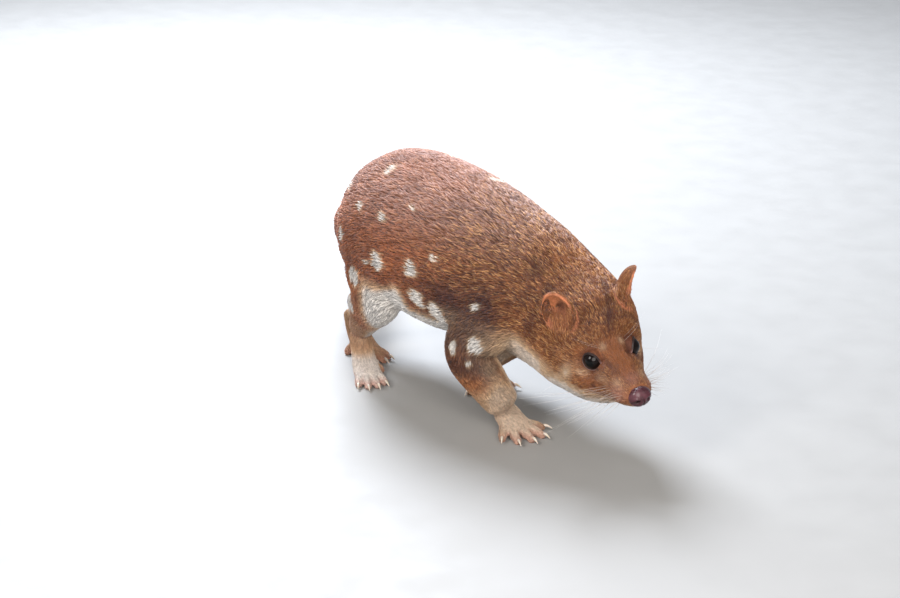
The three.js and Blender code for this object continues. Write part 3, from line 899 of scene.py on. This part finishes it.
def skin_finish():
    finish = Finish("skin under the coat", Specular_IOR_Level=0.22, Subsurface_Weight=0.06)
    finish.set("Subsurface Radius", (0.004, 0.0015, 0.001))
    place = finish.place()
    strands = finish.noise(finish.stretched(place, (260, 1100, 1100)), 1.0, 3)
    pores = finish.noise(place, 1700, 3)
    lot = finish.noise(place, 900, 2)
    finish.set("Base Color", coat_colour(finish, place, strands * 0.5, lot))
    finish.set("Roughness", finish.ramp(pores, 0.3, 0.7, 0.5, 0.72))
    finish.relief(strands + 0.5 * pores, 0.55, 0.0012)
    return finish.material


def eye_finish():
    finish = Finish("dark wet eye", Coat_Roughness=0.02, IOR=1.2)
    rings = finish.noise(finish.attribute("local", "Vector"), 1800, 4)
    away = finish.attribute("away")
    iris = finish.mix(finish.ramp(rings, 0.35, 0.7), (0.004, 0.003, 0.003), (0.011, 0.006, 0.005))
    edge = finish.mix(finish.ramp(away, 0.86, 0.97), iris, (0.02, 0.012, 0.010))
    finish.set("Base Color", finish.mix(finish.ramp(away, 0.30, 0.42), (0.002, 0.002, 0.002), edge))
    finish.set("Roughness", finish.ramp(rings, 0.2, 0.8, 0.05, 0.09))
    finish.set("Coat Weight", finish.ramp(away, 0.0, 1.2, 0.16, 0.08))
    return finish.material


def lid_finish():
    finish = Finish("bare lid margin", Specular_IOR_Level=0.3)
    grain = finish.noise(finish.place(), 2600, 3)
    colour = finish.mix(finish.ramp(grain, 0.3, 0.7), (0.012, 0.008, 0.008), (0.035, 0.018, 0.016))
    finish.set("Base Color", finish.mix(finish.attribute("lower"), colour, (0.60, 0.33, 0.29)))
    finish.set("Roughness", finish.ramp(grain, 0.3, 0.7, 0.28, 0.5))
    finish.relief(grain, 0.4, 0.0003)
    return finish.material


def nose_finish():
    finish = Finish("wet nose leather", Coat_Roughness=0.14, Specular_IOR_Level=0.35)
    place = finish.place()
    values = {"Vector": place, "Scale": 1500}
    cells = finish.node("ShaderNodeTexVoronoi", {"feature": "DISTANCE_TO_EDGE"}, values)
    patch = finish.noise(place, 260, 2)
    painted_recess_shade = finish.attribute("painted_recess_shade")
    colour = finish.mix(finish.ramp(patch, 0.35, 0.65), (0.045, 0.009, 0.014), (0.085, 0.020, 0.030))
    # Painted shade, near black, in the nostrils and down the groove
    finish.set("Base Color", finish.mix(painted_recess_shade, colour, (0.010, 0.003, 0.003)))
    finish.set("Roughness", finish.ramp(patch, 0.3, 0.7, 0.24, 0.40))
    finish.set("Coat Weight", finish.ramp(painted_recess_shade, 0.0, 1.0, 0.40, 0.05))
    finish.relief(finish.ramp(cells, 0.0, 0.25), 0.35, 0.0002)
    return finish.material


def claw_finish():
    finish = Finish("pale horn", Subsurface_Weight=0.15, Specular_IOR_Level=0.5)
    place = finish.place()
    grain = finish.noise(finish.stretched(place, (400, 400, 2400)), 1.0, 3)
    colour = finish.mix(finish.noise(place, 320, 1), (0.55, 0.42, 0.33), (0.72, 0.62, 0.52))
    finish.set("Base Color", finish.mix(finish.ramp(grain, 0.45, 0.75, 0.0, 0.5), colour, (0.40, 0.25, 0.18)))
    finish.set("Roughness", finish.ramp(grain, 0.3, 0.7, 0.25, 0.42))
    finish.relief(grain, 0.25, 0.0002)
    return finish.material


def whisker_finish():
    finish = Finish("whisker", Specular_IOR_Level=0.5)
    grain = finish.noise(finish.place(), 500, 1)
    colour = finish.mix(finish.attribute("along"), (0.30, 0.20, 0.15), (0.86, 0.83, 0.80))
    finish.set("Base Color", finish.mix(finish.ramp(grain, 0.4, 0.6, 0.0, 0.25), colour, (0.6, 0.5, 0.42)))
    finish.set("Roughness", finish.ramp(grain, 0.3, 0.7, 0.3, 0.45))
    return finish.material


# Skin and coat. Two amounts that smooth a form without shrinking it, and how many rounds it gets
KEEP_SIZE = (0.5, -0.52)
BODY_ROUNDS, EAR_ROUNDS, DEPTH_ROUNDS = 26, 8, 6
SKIN_FACES_KEPT = 0.30
UNWRAP_FACES, UNWRAP_ANGLE, UNWRAP_MARGIN = 9000, 66, 0.003


def finished(piece, material, slot, *nodes):
    """Gives a piece its material, its body, and the nodes that it stands for. The slot is not used."""
    piece.data.materials.clear()
    piece.data.materials.append(material)
    piece.data.polygons.foreach_set("use_smooth", np.ones(len(piece.data.polygons), bool))
    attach(piece, "root")
    if nodes:
        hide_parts(*nodes)


def make_skin():
    """One closed, smoothed skin over every form: the face is worked in, and the coat's depth drawn in."""
    skin = add_object("skin", rough_mesh("skin", flesh_forms()))
    cells = skin.modifiers.new("one skin", "REMESH")
    cells.mode = "VOXEL"
    cells.voxel_size = VOXEL / 1000
    mesh = settle(skin)
    drop_scraps(mesh)

    points, edges = points_of(mesh), edges_of(mesh)
    plain, light = (smoothed(points, edges, rounds, KEEP_SIZE) for rounds in (BODY_ROUNDS, EAR_ROUNDS))
    ears = [np.linalg.norm((points - ear_place(side)) @ ear_turn(side) / EAR_HALF, axis=1) for side in SIDES]
    points = plain + (light - plain) * (1 - soft(np.min(ears, 0), 1.1, 1.4))[:, None]
    set_points(mesh, points)
    normals = normals_of(mesh)
    points += normals * face_relief(points)[:, None]
    _, values, _, _ = lie_of_coat(points)
    depth = smoothed(values[:, 1], edges, DEPTH_ROUNDS)
    points -= normals * depth[:, None]
    points[:, 2] = np.maximum(points[:, 2], SKIN_FLOOR)
    set_points(mesh, seat_eyes(points))

    back = -in_head(points)[:, 0]
    fine = np.maximum(1 - soft(back, 70, 100), 1 - soft(points[:, 2], 25, 40)) >= 0.5
    group = skin.vertex_groups.new(name="body")
    for share, some in ((0.1, fine), (1.0, ~fine)):
        group.add(np.where(some)[0].tolist(), share, "REPLACE")
    slim = skin.modifiers.new("fewer faces", "DECIMATE")
    slim.vertex_group = "body"
    slim.ratio = SKIN_FACES_KEPT
    settle(skin)
    skin.vertex_groups.clear()
    return skin


def drop_scraps(mesh):
    """Keeps only the mesh's largest closed surface."""
    edges = edges_of(mesh)
    label = np.arange(len(mesh.vertices))
    while True:
        low = np.minimum(label[edges[:, 0]], label[edges[:, 1]])
        before = label.copy()
        np.minimum.at(label, edges[:, 0], low)
        np.minimum.at(label, edges[:, 1], low)
        label = label[label]
        if (label == before).all():
            break
    names, counts = np.unique(label, return_counts=True)
    work = bmesh.new()
    work.from_mesh(mesh)
    work.verts.ensure_lookup_table()
    loose = [work.verts[int(i)] for i in np.where(label != names[counts.argmax()])[0]]
    bmesh.ops.delete(work, geom=loose, context="VERTS")
    work.to_mesh(mesh)
    work.free()


def face_relief(points):
    """How far the face's skin stands out or lies in, in millimetres."""
    head = in_head(points)
    back, side, high = -head[:, 0], np.abs(head[:, 1]), head[:, 2]
    mouth = mouth_line(back)
    pad = bump(back, 15, 8) * bump(high, -2.5, 5) * soft(side, 5, 9)
    reliefs = {
        "groove of the mouth": -1.5 * bump(high, mouth, 0.8) * (1 - soft(back, 36, 40)),
        "upper lip": 0.5 * bump(high, mouth + 2.2, 1.4) * (1 - soft(back, 32, 40)),
        "lower lip": 0.4 * bump(high, mouth - 2.0, 1.2) * (1 - soft(back, 30, 38)),
        "whisker pad": pad * 0.7,
        "rows of the pad": pad * (0.32 * whisker_rows(back, high)),
        "stop of the nose": -0.9 * bump(back, 33, 6) * bump(side, 0, 5) * soft(high, 2, 8),
        "tear furrow": -0.8 * bump(back, 36.5, 2.2) * bump(side, 12.5, 3) * bump(high, 6.5, 1.8),
        "fold under the eye": -0.5 * bump(back, 44, 7) * bump(high, 0.8, 1.2) * soft(side, 12, 18),
        "fold of the cheek": -0.6 * bump(back, 41, 2.0) * bump(high, -9, 5) * soft(side, 10, 15),
    }
    return np.where((back < 60) & (back > -2), sum(reliefs.values()), 0)


def lid_line(angle, side):
    """How far from the eye's middle the lids open, all round, and how near the tear corner is."""
    across = angle - math.radians(-TEAR_CORNER if side == RIGHT else 180 + TEAR_CORNER)
    front = np.clip(np.cos(across), 0, 1)
    wide = math.radians(EYE_OPEN_WIDE) + math.radians(TEAR_REACH) * front**10
    high = math.radians(EYE_OPEN_HIGH)
    return 1 / np.sqrt((np.cos(across) / wide) ** 2 + (np.sin(across) / high) ** 2), front


def seat_eyes(points):
    """Draws the skin in behind each eye and up to its lids."""
    behind, at_lids, past_lids, clear = 5.2, 2.5, 0.5, EYE_RADIUS + 0.9
    for side in SIDES:
        gap = points - eye_place(side)
        distance = np.linalg.norm(gap, axis=1)
        local = gap @ eye_turn(side)
        angle = np.arctan2(local[:, 2], local[:, 1])
        away = np.arccos(np.clip(local[:, 0] / np.maximum(distance, 1e-6), -1, 1))
        share = away / lid_line(angle, side)[0]
        wanted = behind + at_lids * soft(share, 0.98, 1.16) + past_lids * soft(share, 1.2, 1.6)
        hold = (1 - soft(share, 1.3, 1.95)) * (distance < 15)
        reach = distance * (1 - hold) + wanted * hold
        reach = np.where((share > 1.16) & (distance < 12), np.maximum(reach, clear), reach)
        points += gap / np.maximum(distance, 1e-6)[:, None] * (reach - distance)[:, None]
    return points


def unwrap_of(skin):
    """A tree of the skin's faces, few of them, with the corners' places on its unwrap."""
    flat = add_object("unwrap", skin.data.copy())
    fewer = flat.modifiers.new("few faces", "DECIMATE")
    fewer.ratio = UNWRAP_FACES / len(flat.data.polygons)
    settle(flat)
    bpy.ops.object.select_all(action="DESELECT")
    flat.select_set(True)
    bpy.context.view_layer.objects.active = flat
    bpy.ops.object.mode_set(mode="EDIT")
    bpy.ops.mesh.select_all(action="SELECT")
    bpy.ops.mesh.quads_convert_to_tris()
    bpy.ops.uv.smart_project(angle_limit=math.radians(UNWRAP_ANGLE), island_margin=UNWRAP_MARGIN)
    bpy.ops.object.mode_set(mode="OBJECT")
    mesh = flat.data
    faces = rows_of(mesh.loops, "vertex_index", 1, int).reshape(-1, 3)
    corners = rows_of(mesh.uv_layers.active.data, "uv", 2).reshape(-1, 3, 2)
    points = points_of(mesh)
    tree = BVHTree.FromPolygons(points.tolist(), faces.tolist())
    bpy.data.objects.remove(flat)
    return tree, points[faces], corners


def unwrap_places(points, unwrap):
    """The place on the unwrap of the skin's point that is nearest to each point."""
    tree, triangles, corners = unwrap
    faces = np.array([tree.find_nearest(p)[2] for p in points.tolist()])
    a, b, c = triangles[faces, 0], triangles[faces, 1], triangles[faces, 2]
    u, v, w = b - a, c - a, points - a
    uu, uv, vv = (u * u).sum(1), (u * v).sum(1), (v * v).sum(1)
    wu, wv = (w * u).sum(1), (w * v).sum(1)
    scale = np.maximum(uu * vv - uv * uv, 1e-12)
    s = (vv * wu - uv * wv) / scale
    t = (uu * wv - uv * wu) / scale
    shares = np.clip(np.stack([1 - s - t, s, t], 1), 0, 1)
    shares /= shares.sum(1)[:, None]
    return (corners[faces] * shares[:, :, None]).sum(1)


def coat_roots(points, faces, *fields):
    """Seeded roots over the skin, as dense as the last field's last value says, with the fields there."""
    corner = points[faces]
    area = np.linalg.norm(np.cross(corner[:, 1] - corner[:, 0], corner[:, 2] - corner[:, 0]), axis=1) / 2
    wanted = area * fields[-1][faces, 2].mean(1)
    count = int(TUFTS * (1))
    ladder = np.cumsum(wanted) / wanted.sum()
    draws = (np.arange(count) + chance.uniform(0, 1, count)) / count
    pick = np.minimum(np.searchsorted(ladder, draws), len(faces) - 1)
    r, s = chance.uniform(0, 1, (2, count))
    over = r + s > 1
    r, s = np.where(over, 1 - r, r), np.where(over, 1 - s, s)
    shares = np.stack([1 - r - s, r, s], 1)[:, :, None]
    return [(field[faces[pick]] * shares).sum(1) for field in (points, *fields)]


def clear_round_eyes(points, normals, ahead, values):
    """Leaves the eyes and the nose pad free, with short tufts that lie away from them."""
    for side in SIDES:
        gap = points - eye_place(side)
        distance = np.linalg.norm(gap, axis=1)
        facing = eye_turn(side)[:, 0]
        out = unit(gap - np.outer(gap @ facing, facing))
        ahead += out * (0.9 * (1 - soft(distance, 10, 15)))[:, None]
        values[:, 0] *= 0.38 + 0.62 * soft(distance, 9.5, 17)
        values[:, 1] *= 0.35 + 0.65 * soft(distance, 9.5, 14)
        values[:, 2] *= soft(distance, 8.4, 8.9) * (1 + 0.8 * (1 - soft(distance, 11, 18)))
    nose_gap = np.linalg.norm((in_head(points) - NOSE_MIDDLE) / (NOSE_HALF + 0.4), axis=1)
    values[:, 2] *= soft(nose_gap, 1.0, 1.06)
    ahead[:] = unit(flattened(ahead, normals))


def flattened(ways, normals):
    return ways - normals * (ways * normals).sum(1)[:, None]


# A tuft is a thin bent spike: three corners at its root, three at its middle and a tip. It has a face
# under its root, three quads to its middle and three triangles to its tip
TUFT_CORNERS = np.array([0, 2, 5, 3, 2, 1, 4, 5, 1, 0, 3, 4, 3, 5, 6, 5, 4, 6, 4, 3, 6, 0, 1, 2])
TUFT_FACES = np.array([0, 4, 8, 12, 15, 18, 21])
TUFT_RINGS = np.array([0, 0, 0, 1, 1, 1, 2])
TUFT_PATCH = PATCH * np.array([
    (-0.5, -0.5), (0.5, -0.5), (0, -0.5), (-0.5, 0.05), (0.5, 0.05), (0, 0.05), (0, 0.5),
])
ROOT_WIDTH, MIDDLE_WIDTH = 0.42, 0.5
TUFT_WIDTH, WIDTH_BY_LENGTH = 0.17, 0.046
ROOT_DEPTH, LEAST_LIFT = 0.35, 0.15
MIDDLE_AT, TIP_AT = 0.48, 1
ROOT_LEAD = 0.15  # how far a tuft's markings are drawn toward those at its root


def make_coat(skin):
    """Thin bent tufts over the skin that lie flat along the coat, in pieces of limited size."""
    mesh = skin.data
    points, normals = points_of(mesh), normals_of(mesh)
    edges, faces = edges_of(mesh), triangles_of(mesh)
    ahead, values, _, _ = lie_of_coat(points)
    ahead = smoothed(unit(flattened(ahead, normals)), edges, 12)
    values = smoothed(values, edges, 4)
    clear_round_eyes(points, normals, ahead, values)
    values[:, 2] *= 1 - 0.92 * in_ear(points, normals)[0]
    set_values(mesh, markings(points, normals))

    root, normal, way, value = coat_roots(points, faces, normals, ahead, values)
    normal = unit(normal)
    length, depth, _ = value.T
    count = len(root)
    way = unit(flattened(way, normal))
    sway = 0.08 * ripple(root, 16, 31) + 0.06 * ripple(root, 5, 32) + chance.normal(0, 0.15, count)
    way = way * np.cos(sway)[:, None] + np.cross(normal, way) * np.sin(sway)[:, None]
    across = np.cross(normal, way)
    length = length * np.clip(1 + 0.16 * ripple(root, 9, 33) + chance.normal(0, 0.16, count), 0.5, 1.6)
    lot = chance.uniform(0, 1, count)
    wide = ((TUFT_WIDTH + WIDTH_BY_LENGTH * length) * chance.uniform(0.75, 1.25, count))[:, None]
    tree = BVHTree.FromPolygons(points.tolist(), faces.tolist())

    def over_skin(share, lift):
        """The places at a share of the tufts' length, lifted off the skin, and the ways out there."""
        hits = [tree.find_nearest(p) for p in (root + way * (length * share)[:, None]).tolist()]
        near = np.array([hit[0] for hit in hits])
        out = unit(np.array([hit[1] for hit in hits]) + normal * 0.6)
        return near + out * lift[:, None], out

    middle, middle_out = over_skin(MIDDLE_AT, depth * chance.uniform(0.55, 1.05, count))
    tip, _ = over_skin(TIP_AT, depth * chance.uniform(0.35, 1.0, count) + LEAST_LIFT)
    start = root - normal * ROOT_DEPTH
    corners = np.stack([
        start - across * wide * ROOT_WIDTH, start + across * wide * ROOT_WIDTH, start + normal * wide * 0.5,
        middle - across * wide * MIDDLE_WIDTH, middle + across * wide * MIDDLE_WIDTH,
        middle + middle_out * wide * 0.42, tip,
    ], 1)
    corners[:, :, 2] = np.maximum(corners[:, :, 2], COAT_FLOOR)

    marks = [markings(ROOT_LEAD * root + (1 - ROOT_LEAD) * spot, normal) for spot in (root, middle, tip)]
    fields = {name: np.stack([marks[ring][name] for ring in TUFT_RINGS], 1) for name in marks[0]}
    patches = unwrap_places(root, unwrap_of(skin))
    order = chance.permutation(count)
    material = coat_finish()
    for number, first in enumerate(range(0, count, TUFTS_A_PIECE)):
        some = np.sort(order[first:first + TUFTS_A_PIECE])
        coat = tuft_mesh(f"coat_{number + 1}", corners[some], patches[some])
        set_values(coat, {name: field[some].ravel() for name, field in fields.items()})
        set_values(coat, {
            "root": np.repeat(to_frame(root[some]), len(TUFT_RINGS), axis=0),
            "lot": np.repeat(lot[some], len(TUFT_RINGS)),
            "along": np.tile(TUFT_RINGS / 2, len(some)),
        })
        finished(add_object(coat.name, coat), material, "fur")


def tuft_mesh(name, corners, patches):
    """One mesh of many tufts, each with its own patch of the bake's map."""
    total, size = corners.shape[:2]
    coat = bpy.data.meshes.new(name)
    coat.vertices.add(total * size)
    coat.vertices.foreach_set("co", to_frame(corners).ravel())
    loops = (np.arange(total)[:, None] * size + TUFT_CORNERS).ravel()
    coat.loops.add(len(loops))
    coat.loops.foreach_set("vertex_index", loops)
    starts = (np.arange(total)[:, None] * len(TUFT_CORNERS) + TUFT_FACES).ravel()
    coat.polygons.add(len(starts))
    coat.polygons.foreach_set("loop_start", starts)
    layer = coat.uv_layers.new(name="OFBake")
    layer.data.foreach_set("uv", (patches[:, None] + TUFT_PATCH[TUFT_CORNERS]).ravel())
    coat.update(calc_edges=True)
    return coat


# Eyes, nose, whiskers and claws
def make_eye(side, name, material, around=64, rows=48, pole=0.02):
    """A round eye with a clear bulge in front."""
    turns = np.linspace(pole, math.pi - pole, rows)
    radius = EYE_RADIUS + EYE_BULGE * np.exp(-((turns / 0.62) ** 2))
    points, faces = closed_rings(ball_rings(around, turns) * radius[:, None, None])
    away = np.append(np.repeat(np.where(turns < math.pi / 2, np.sin(turns), 1.0), around), [0.0, 1.0])
    mesh = rough_mesh(name, [(points @ eye_turn(side).T + eye_place(side), turned_out(faces))])
    set_values(mesh, {"away": away, "local": points / 1000})
    finished(add_object(name, mesh), material, "eye", f"eye_{name.split('_')[1]}")


# A row of a lid's margin has its place as a share of the opening, its height over the eye, and 1 where
# the lower lid's row is pink
LID_ROWS = [
    (0.92, -0.9, 0), (0.975, 0.0, 0), (0.985, 0.35, 0), (1.00, 0.62, 0), (1.04, 0.80, 1), (1.09, 0.82, 1),
    (1.15, 0.70, 1), (1.24, 0.40, 1), (1.34, -0.3, 0), (1.24, -1.0, 0),
]


def make_lids(side, name, material, around=96):
    """The bare margin of both lids: a rolled ring on the eye, drawn out to the tear corner in front."""
    angle = np.linspace(0, 2 * math.pi, around, endpoint=False)
    spread, front = lid_line(angle, side)
    upper = np.clip(np.sin(angle), 0, 1)
    rings, pink = [], []
    for i, (scale, height, lower) in enumerate(LID_ROWS):
        radius = EYE_RADIUS + height + 0.3 * upper * (0.95 < scale < 1.3)
        t = spread * (scale + 0.9 * max(scale - 1, 0) * front**8)
        ways = np.stack([np.cos(t), np.sin(t) * np.cos(angle), np.sin(t) * np.sin(angle)], 1)
        rings.append(ways * radius[:, None])
        corner = front**10 * 0.9 * (i >= 3)
        pink.append(np.maximum(soft(-np.sin(angle), -0.1, 0.5) * 0.8 * lower, corner))
    count = len(LID_ROWS)
    faces = []
    for i in range(count):
        for j in range(around):
            k = (j + 1) % around
            n = (i + 1) % count
            faces.append((i * around + k, n * around + k, n * around + j, i * around + j))
    mesh = rough_mesh(name, [(np.concatenate(rings) @ eye_turn(side).T + eye_place(side), faces)])
    set_values(mesh, {"lower": np.concatenate(pink)})
    finished(add_object(name, mesh), material, "ear_skin")


def make_nose(material, around=120, rows=96, pole=0.02):
    """The nose pad, with a comma of a nostril on each side and a groove down the front."""
    ways, faces = closed_rings(ball_rings(around, np.linspace(pole, math.pi - pole, rows)))
    ways = unit(ways)
    front, side, high = ways[:, 0], np.abs(ways[:, 1]), ways[:, 2]
    pit = bump(side, 0.52, 0.15) * bump(high, -0.05, 0.16)
    slit_line = -0.16 - 0.35 * (side - 0.55)
    slit = bump(high, slit_line, 0.075) * soft(side, 0.5, 0.62) * (1 - soft(side, 0.86, 0.96))
    pit = np.clip(pit + 0.8 * slit, 0, 1) * soft(front, -0.2, 0.2)
    groove = bump(side, 0, 0.06) * (1 - soft(high, 0.05, 0.35)) * soft(front, 0.2, 0.6)
    wing = bump(side, 0.62, 0.2) * bump(high, 0.22, 0.16) * 0.5
    flat = bump(side, 0, 0.3) * bump(high, 0.65, 0.3) * 0.4
    points = ways * NOSE_HALF
    points -= ways * (2.6 * pit + 0.6 * groove + flat - wing)[:, None]
    mesh = rough_mesh("nose_pad", [(on_head(points + NOSE_MIDDLE), turned_out(faces))])
    # The nostrils and the groove get painted shade from this value
    set_values(mesh, {"painted_recess_shade": np.clip(pit * 1.3 + groove * 0.6, 0, 1)})
    finished(add_object("nose_pad", mesh), material, "nose_skin", "nose")


def strand(base, way, bend, length, thick, sides=5, steps=9):
    """A round hair that tapers to a point: its points and faces, and each point's share of its length."""
    way = way / np.linalg.norm(way)
    line = [base + way * length * t + bend * length * t * t for t in (0, 0.33, 0.66, 1.0)]
    shares = np.linspace(0, 1, steps)
    centre = on_line(on_head(line), shares)
    ahead = unit(np.gradient(centre, axis=0))
    side = unit(np.cross(ahead, [0.2, 0.3, 0.93]))
    up = np.cross(ahead, side)
    angle = np.linspace(0, 2 * math.pi, sides, endpoint=False)
    radius = thick * (1 - 0.85 * shares)
    rings = [
        c + r * (np.outer(np.cos(angle), s) + np.outer(np.sin(angle), u))
        for c, r, s, u in zip(centre, radius, side, up)
    ]
    return closed_rings(np.array(rings)), np.concatenate([np.repeat(shares, sides), [0, 1]])


WHISKER_ROWS, WHISKER_THICK, BROW_THICK = 4, 0.12, 0.08
BROW_AND_CHEEK = ((42, 9, 19, 20), (45, 11, 20.5, 24), (58, 30, -6, 22))


def make_whiskers(material):
    """Rows of long hairs on both whisker pads, with a few over each eye and on the cheek."""
    hairs = []
    for side in SIDES:
        for row in range(WHISKER_ROWS):
            for place in range(6 - row // 2):
                back, high = 9.5 + 3.0 * place + 0.6 * row, 0.5 - 2.1 * row
                length, fall = 24 + 6.5 * place, -0.15 - 0.28 * row
                half_width = np.interp(back, [5, 14, 26, 37], [10.2, 13.2, 16, 21.5])
                wide = half_width * math.sqrt(max(0.1, 1 - (high / 14) ** 2)) - 0.6
                lean, drop = 0.10 - 0.028 * back + chance.normal(0, 0.10), fall + chance.normal(0, 0.12)
                bend = np.array([-0.30, 0, -0.16 + chance.normal(0, 0.06)])
                length *= chance.uniform(0.85, 1.15)
                base, way = np.array([-back, side * wide, high]), np.array([lean, side * 1.0, drop])
                hairs.append(strand(base, way, bend, length, WHISKER_THICK))
        for back, wide, high, length in BROW_AND_CHEEK:
            base = np.array([-back, side * wide, high])
            way = np.array([0.15, side * 0.75, 0.6 if high > 0 else -0.3])
            hairs.append(strand(base, way, np.array([-0.3, 0, -0.12]), length, BROW_THICK))
    mesh = rough_mesh("whiskers", [form for form, _ in hairs])
    set_values(mesh, {"along": np.concatenate([along for _, along in hairs])})
    finished(add_object("whiskers", mesh), material, "fur")


def make_claw(node, material):
    """The claw's own form with its corners rounded off."""
    claw = add_object(node.replace("claw", "horn"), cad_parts[node].data.copy())
    work = bmesh.new()
    work.from_mesh(claw.data)
    bmesh.ops.remove_doubles(work, verts=work.verts, dist=1e-6)
    work.to_mesh(claw.data)
    work.free()
    round_off = claw.modifiers.new("round", "SUBSURF")
    round_off.levels = round_off.render_levels = 1
    settle(claw)
    finished(claw, material, "claw", node)


# Camera, light and floor
AZIMUTH, ELEVATION = 45, 20
CAMERA_PLACE = (1139.3, -1076.5, 624)
FOCUS_PIXELS, FRAME_WIDTH, SENSOR = 2117, 900, 36
LIT_MIDDLE = Vector((0, 0, 0.09))
# A lamp has its place in metres, its width, its power and its colour
LAMPS = {
    "high light behind": ((-0.95, 0.45, 1.15), 0.8, 80, (0.84, 0.90, 1.0)),
    "front light": ((1.15, -0.80, 0.70), 1.0, 19, (1.0, 0.95, 0.89)),
    "side light": ((-0.1, -1.45, 1.15), 0.75, 20, (1.0, 0.96, 0.92)),
}
WORLD_COLOUR, WORLD_STRENGTH = (0.93, 0.95, 1.0, 1), 0.40
FLOOR_REACH = 4.0


def aim(thing, place, way):
    """Stands a camera or a lamp in its place and turns it to look along a way."""
    thing.location = Vector(place)
    thing.rotation_mode = "QUATERNION"
    thing.rotation_quaternion = way.to_track_quat("-Z", "Y")
    bpy.context.scene.collection.objects.link(thing)


def studio():
    scene = bpy.context.scene
    a, e = math.radians(AZIMUTH), math.radians(ELEVATION)
    back = Vector((math.sin(a) * math.cos(e), -math.cos(a) * math.cos(e), math.sin(e)))
    camera = bpy.data.objects.new("camera", bpy.data.cameras.new("camera"))
    camera.data.sensor_width = SENSOR
    camera.data.sensor_fit = "HORIZONTAL"
    camera.data.lens = FOCUS_PIXELS / FRAME_WIDTH * SENSOR
    camera.data.clip_start, camera.data.clip_end = 0.05, 20
    aim(camera, to_frame(CAMERA_PLACE), -back)
    scene.camera = camera

    for name, (place, size, power, colour) in LAMPS.items():
        lamp = bpy.data.objects.new(name, bpy.data.lights.new(name, "AREA"))
        lamp.data.shape = "DISK"
        lamp.data.size = size
        lamp.data.energy = power
        lamp.data.color = colour
        aim(lamp, place, LIT_MIDDLE - Vector(place))

    world = bpy.data.worlds.new("soft room")
    world.use_nodes = True
    sky = world.node_tree.nodes["Background"].inputs
    sky[0].default_value, sky[1].default_value = WORLD_COLOUR, WORLD_STRENGTH
    scene.world = world
    scene.view_settings.view_transform = "Standard"

    floor = bpy.data.meshes.new("floor")
    corners = [(x * FLOOR_REACH, y * FLOOR_REACH, 0) for x, y in ((-1, -1), (1, -1), (1, 1), (-1, 1))]
    floor.from_pydata(corners, [], [(0, 1, 2, 3)])
    ground = add_object("floor", floor)
    paint = Finish("pale floor", Specular_IOR_Level=0.3)
    speck = paint.noise(paint.place(), 30, 3)
    paint.set("Base Color", paint.mix(speck, (0.27, 0.265, 0.255), (0.30, 0.295, 0.285)))
    paint.set("Roughness", paint.ramp(speck, 0.3, 0.7, 0.55, 0.65))
    floor.materials.append(paint.material)


FLESH = [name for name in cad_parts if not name.startswith(("claw", "eye", "nose"))]

studio()
skin = make_skin()
make_coat(skin)
finished(skin, skin_finish(), "fur", *FLESH)
eye_look, lid_look, horn = eye_finish(), lid_finish(), claw_finish()
for side, word in ((RIGHT, "right"), (LEFT, "left")):
    make_eye(side, f"eyeball_{word}", eye_look)
    make_lids(side, f"lids_{word}", lid_look)
make_nose(nose_finish())
make_whiskers(whisker_finish())
for node in sorted(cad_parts):
    if node.startswith("claw"):
        make_claw(node, horn)
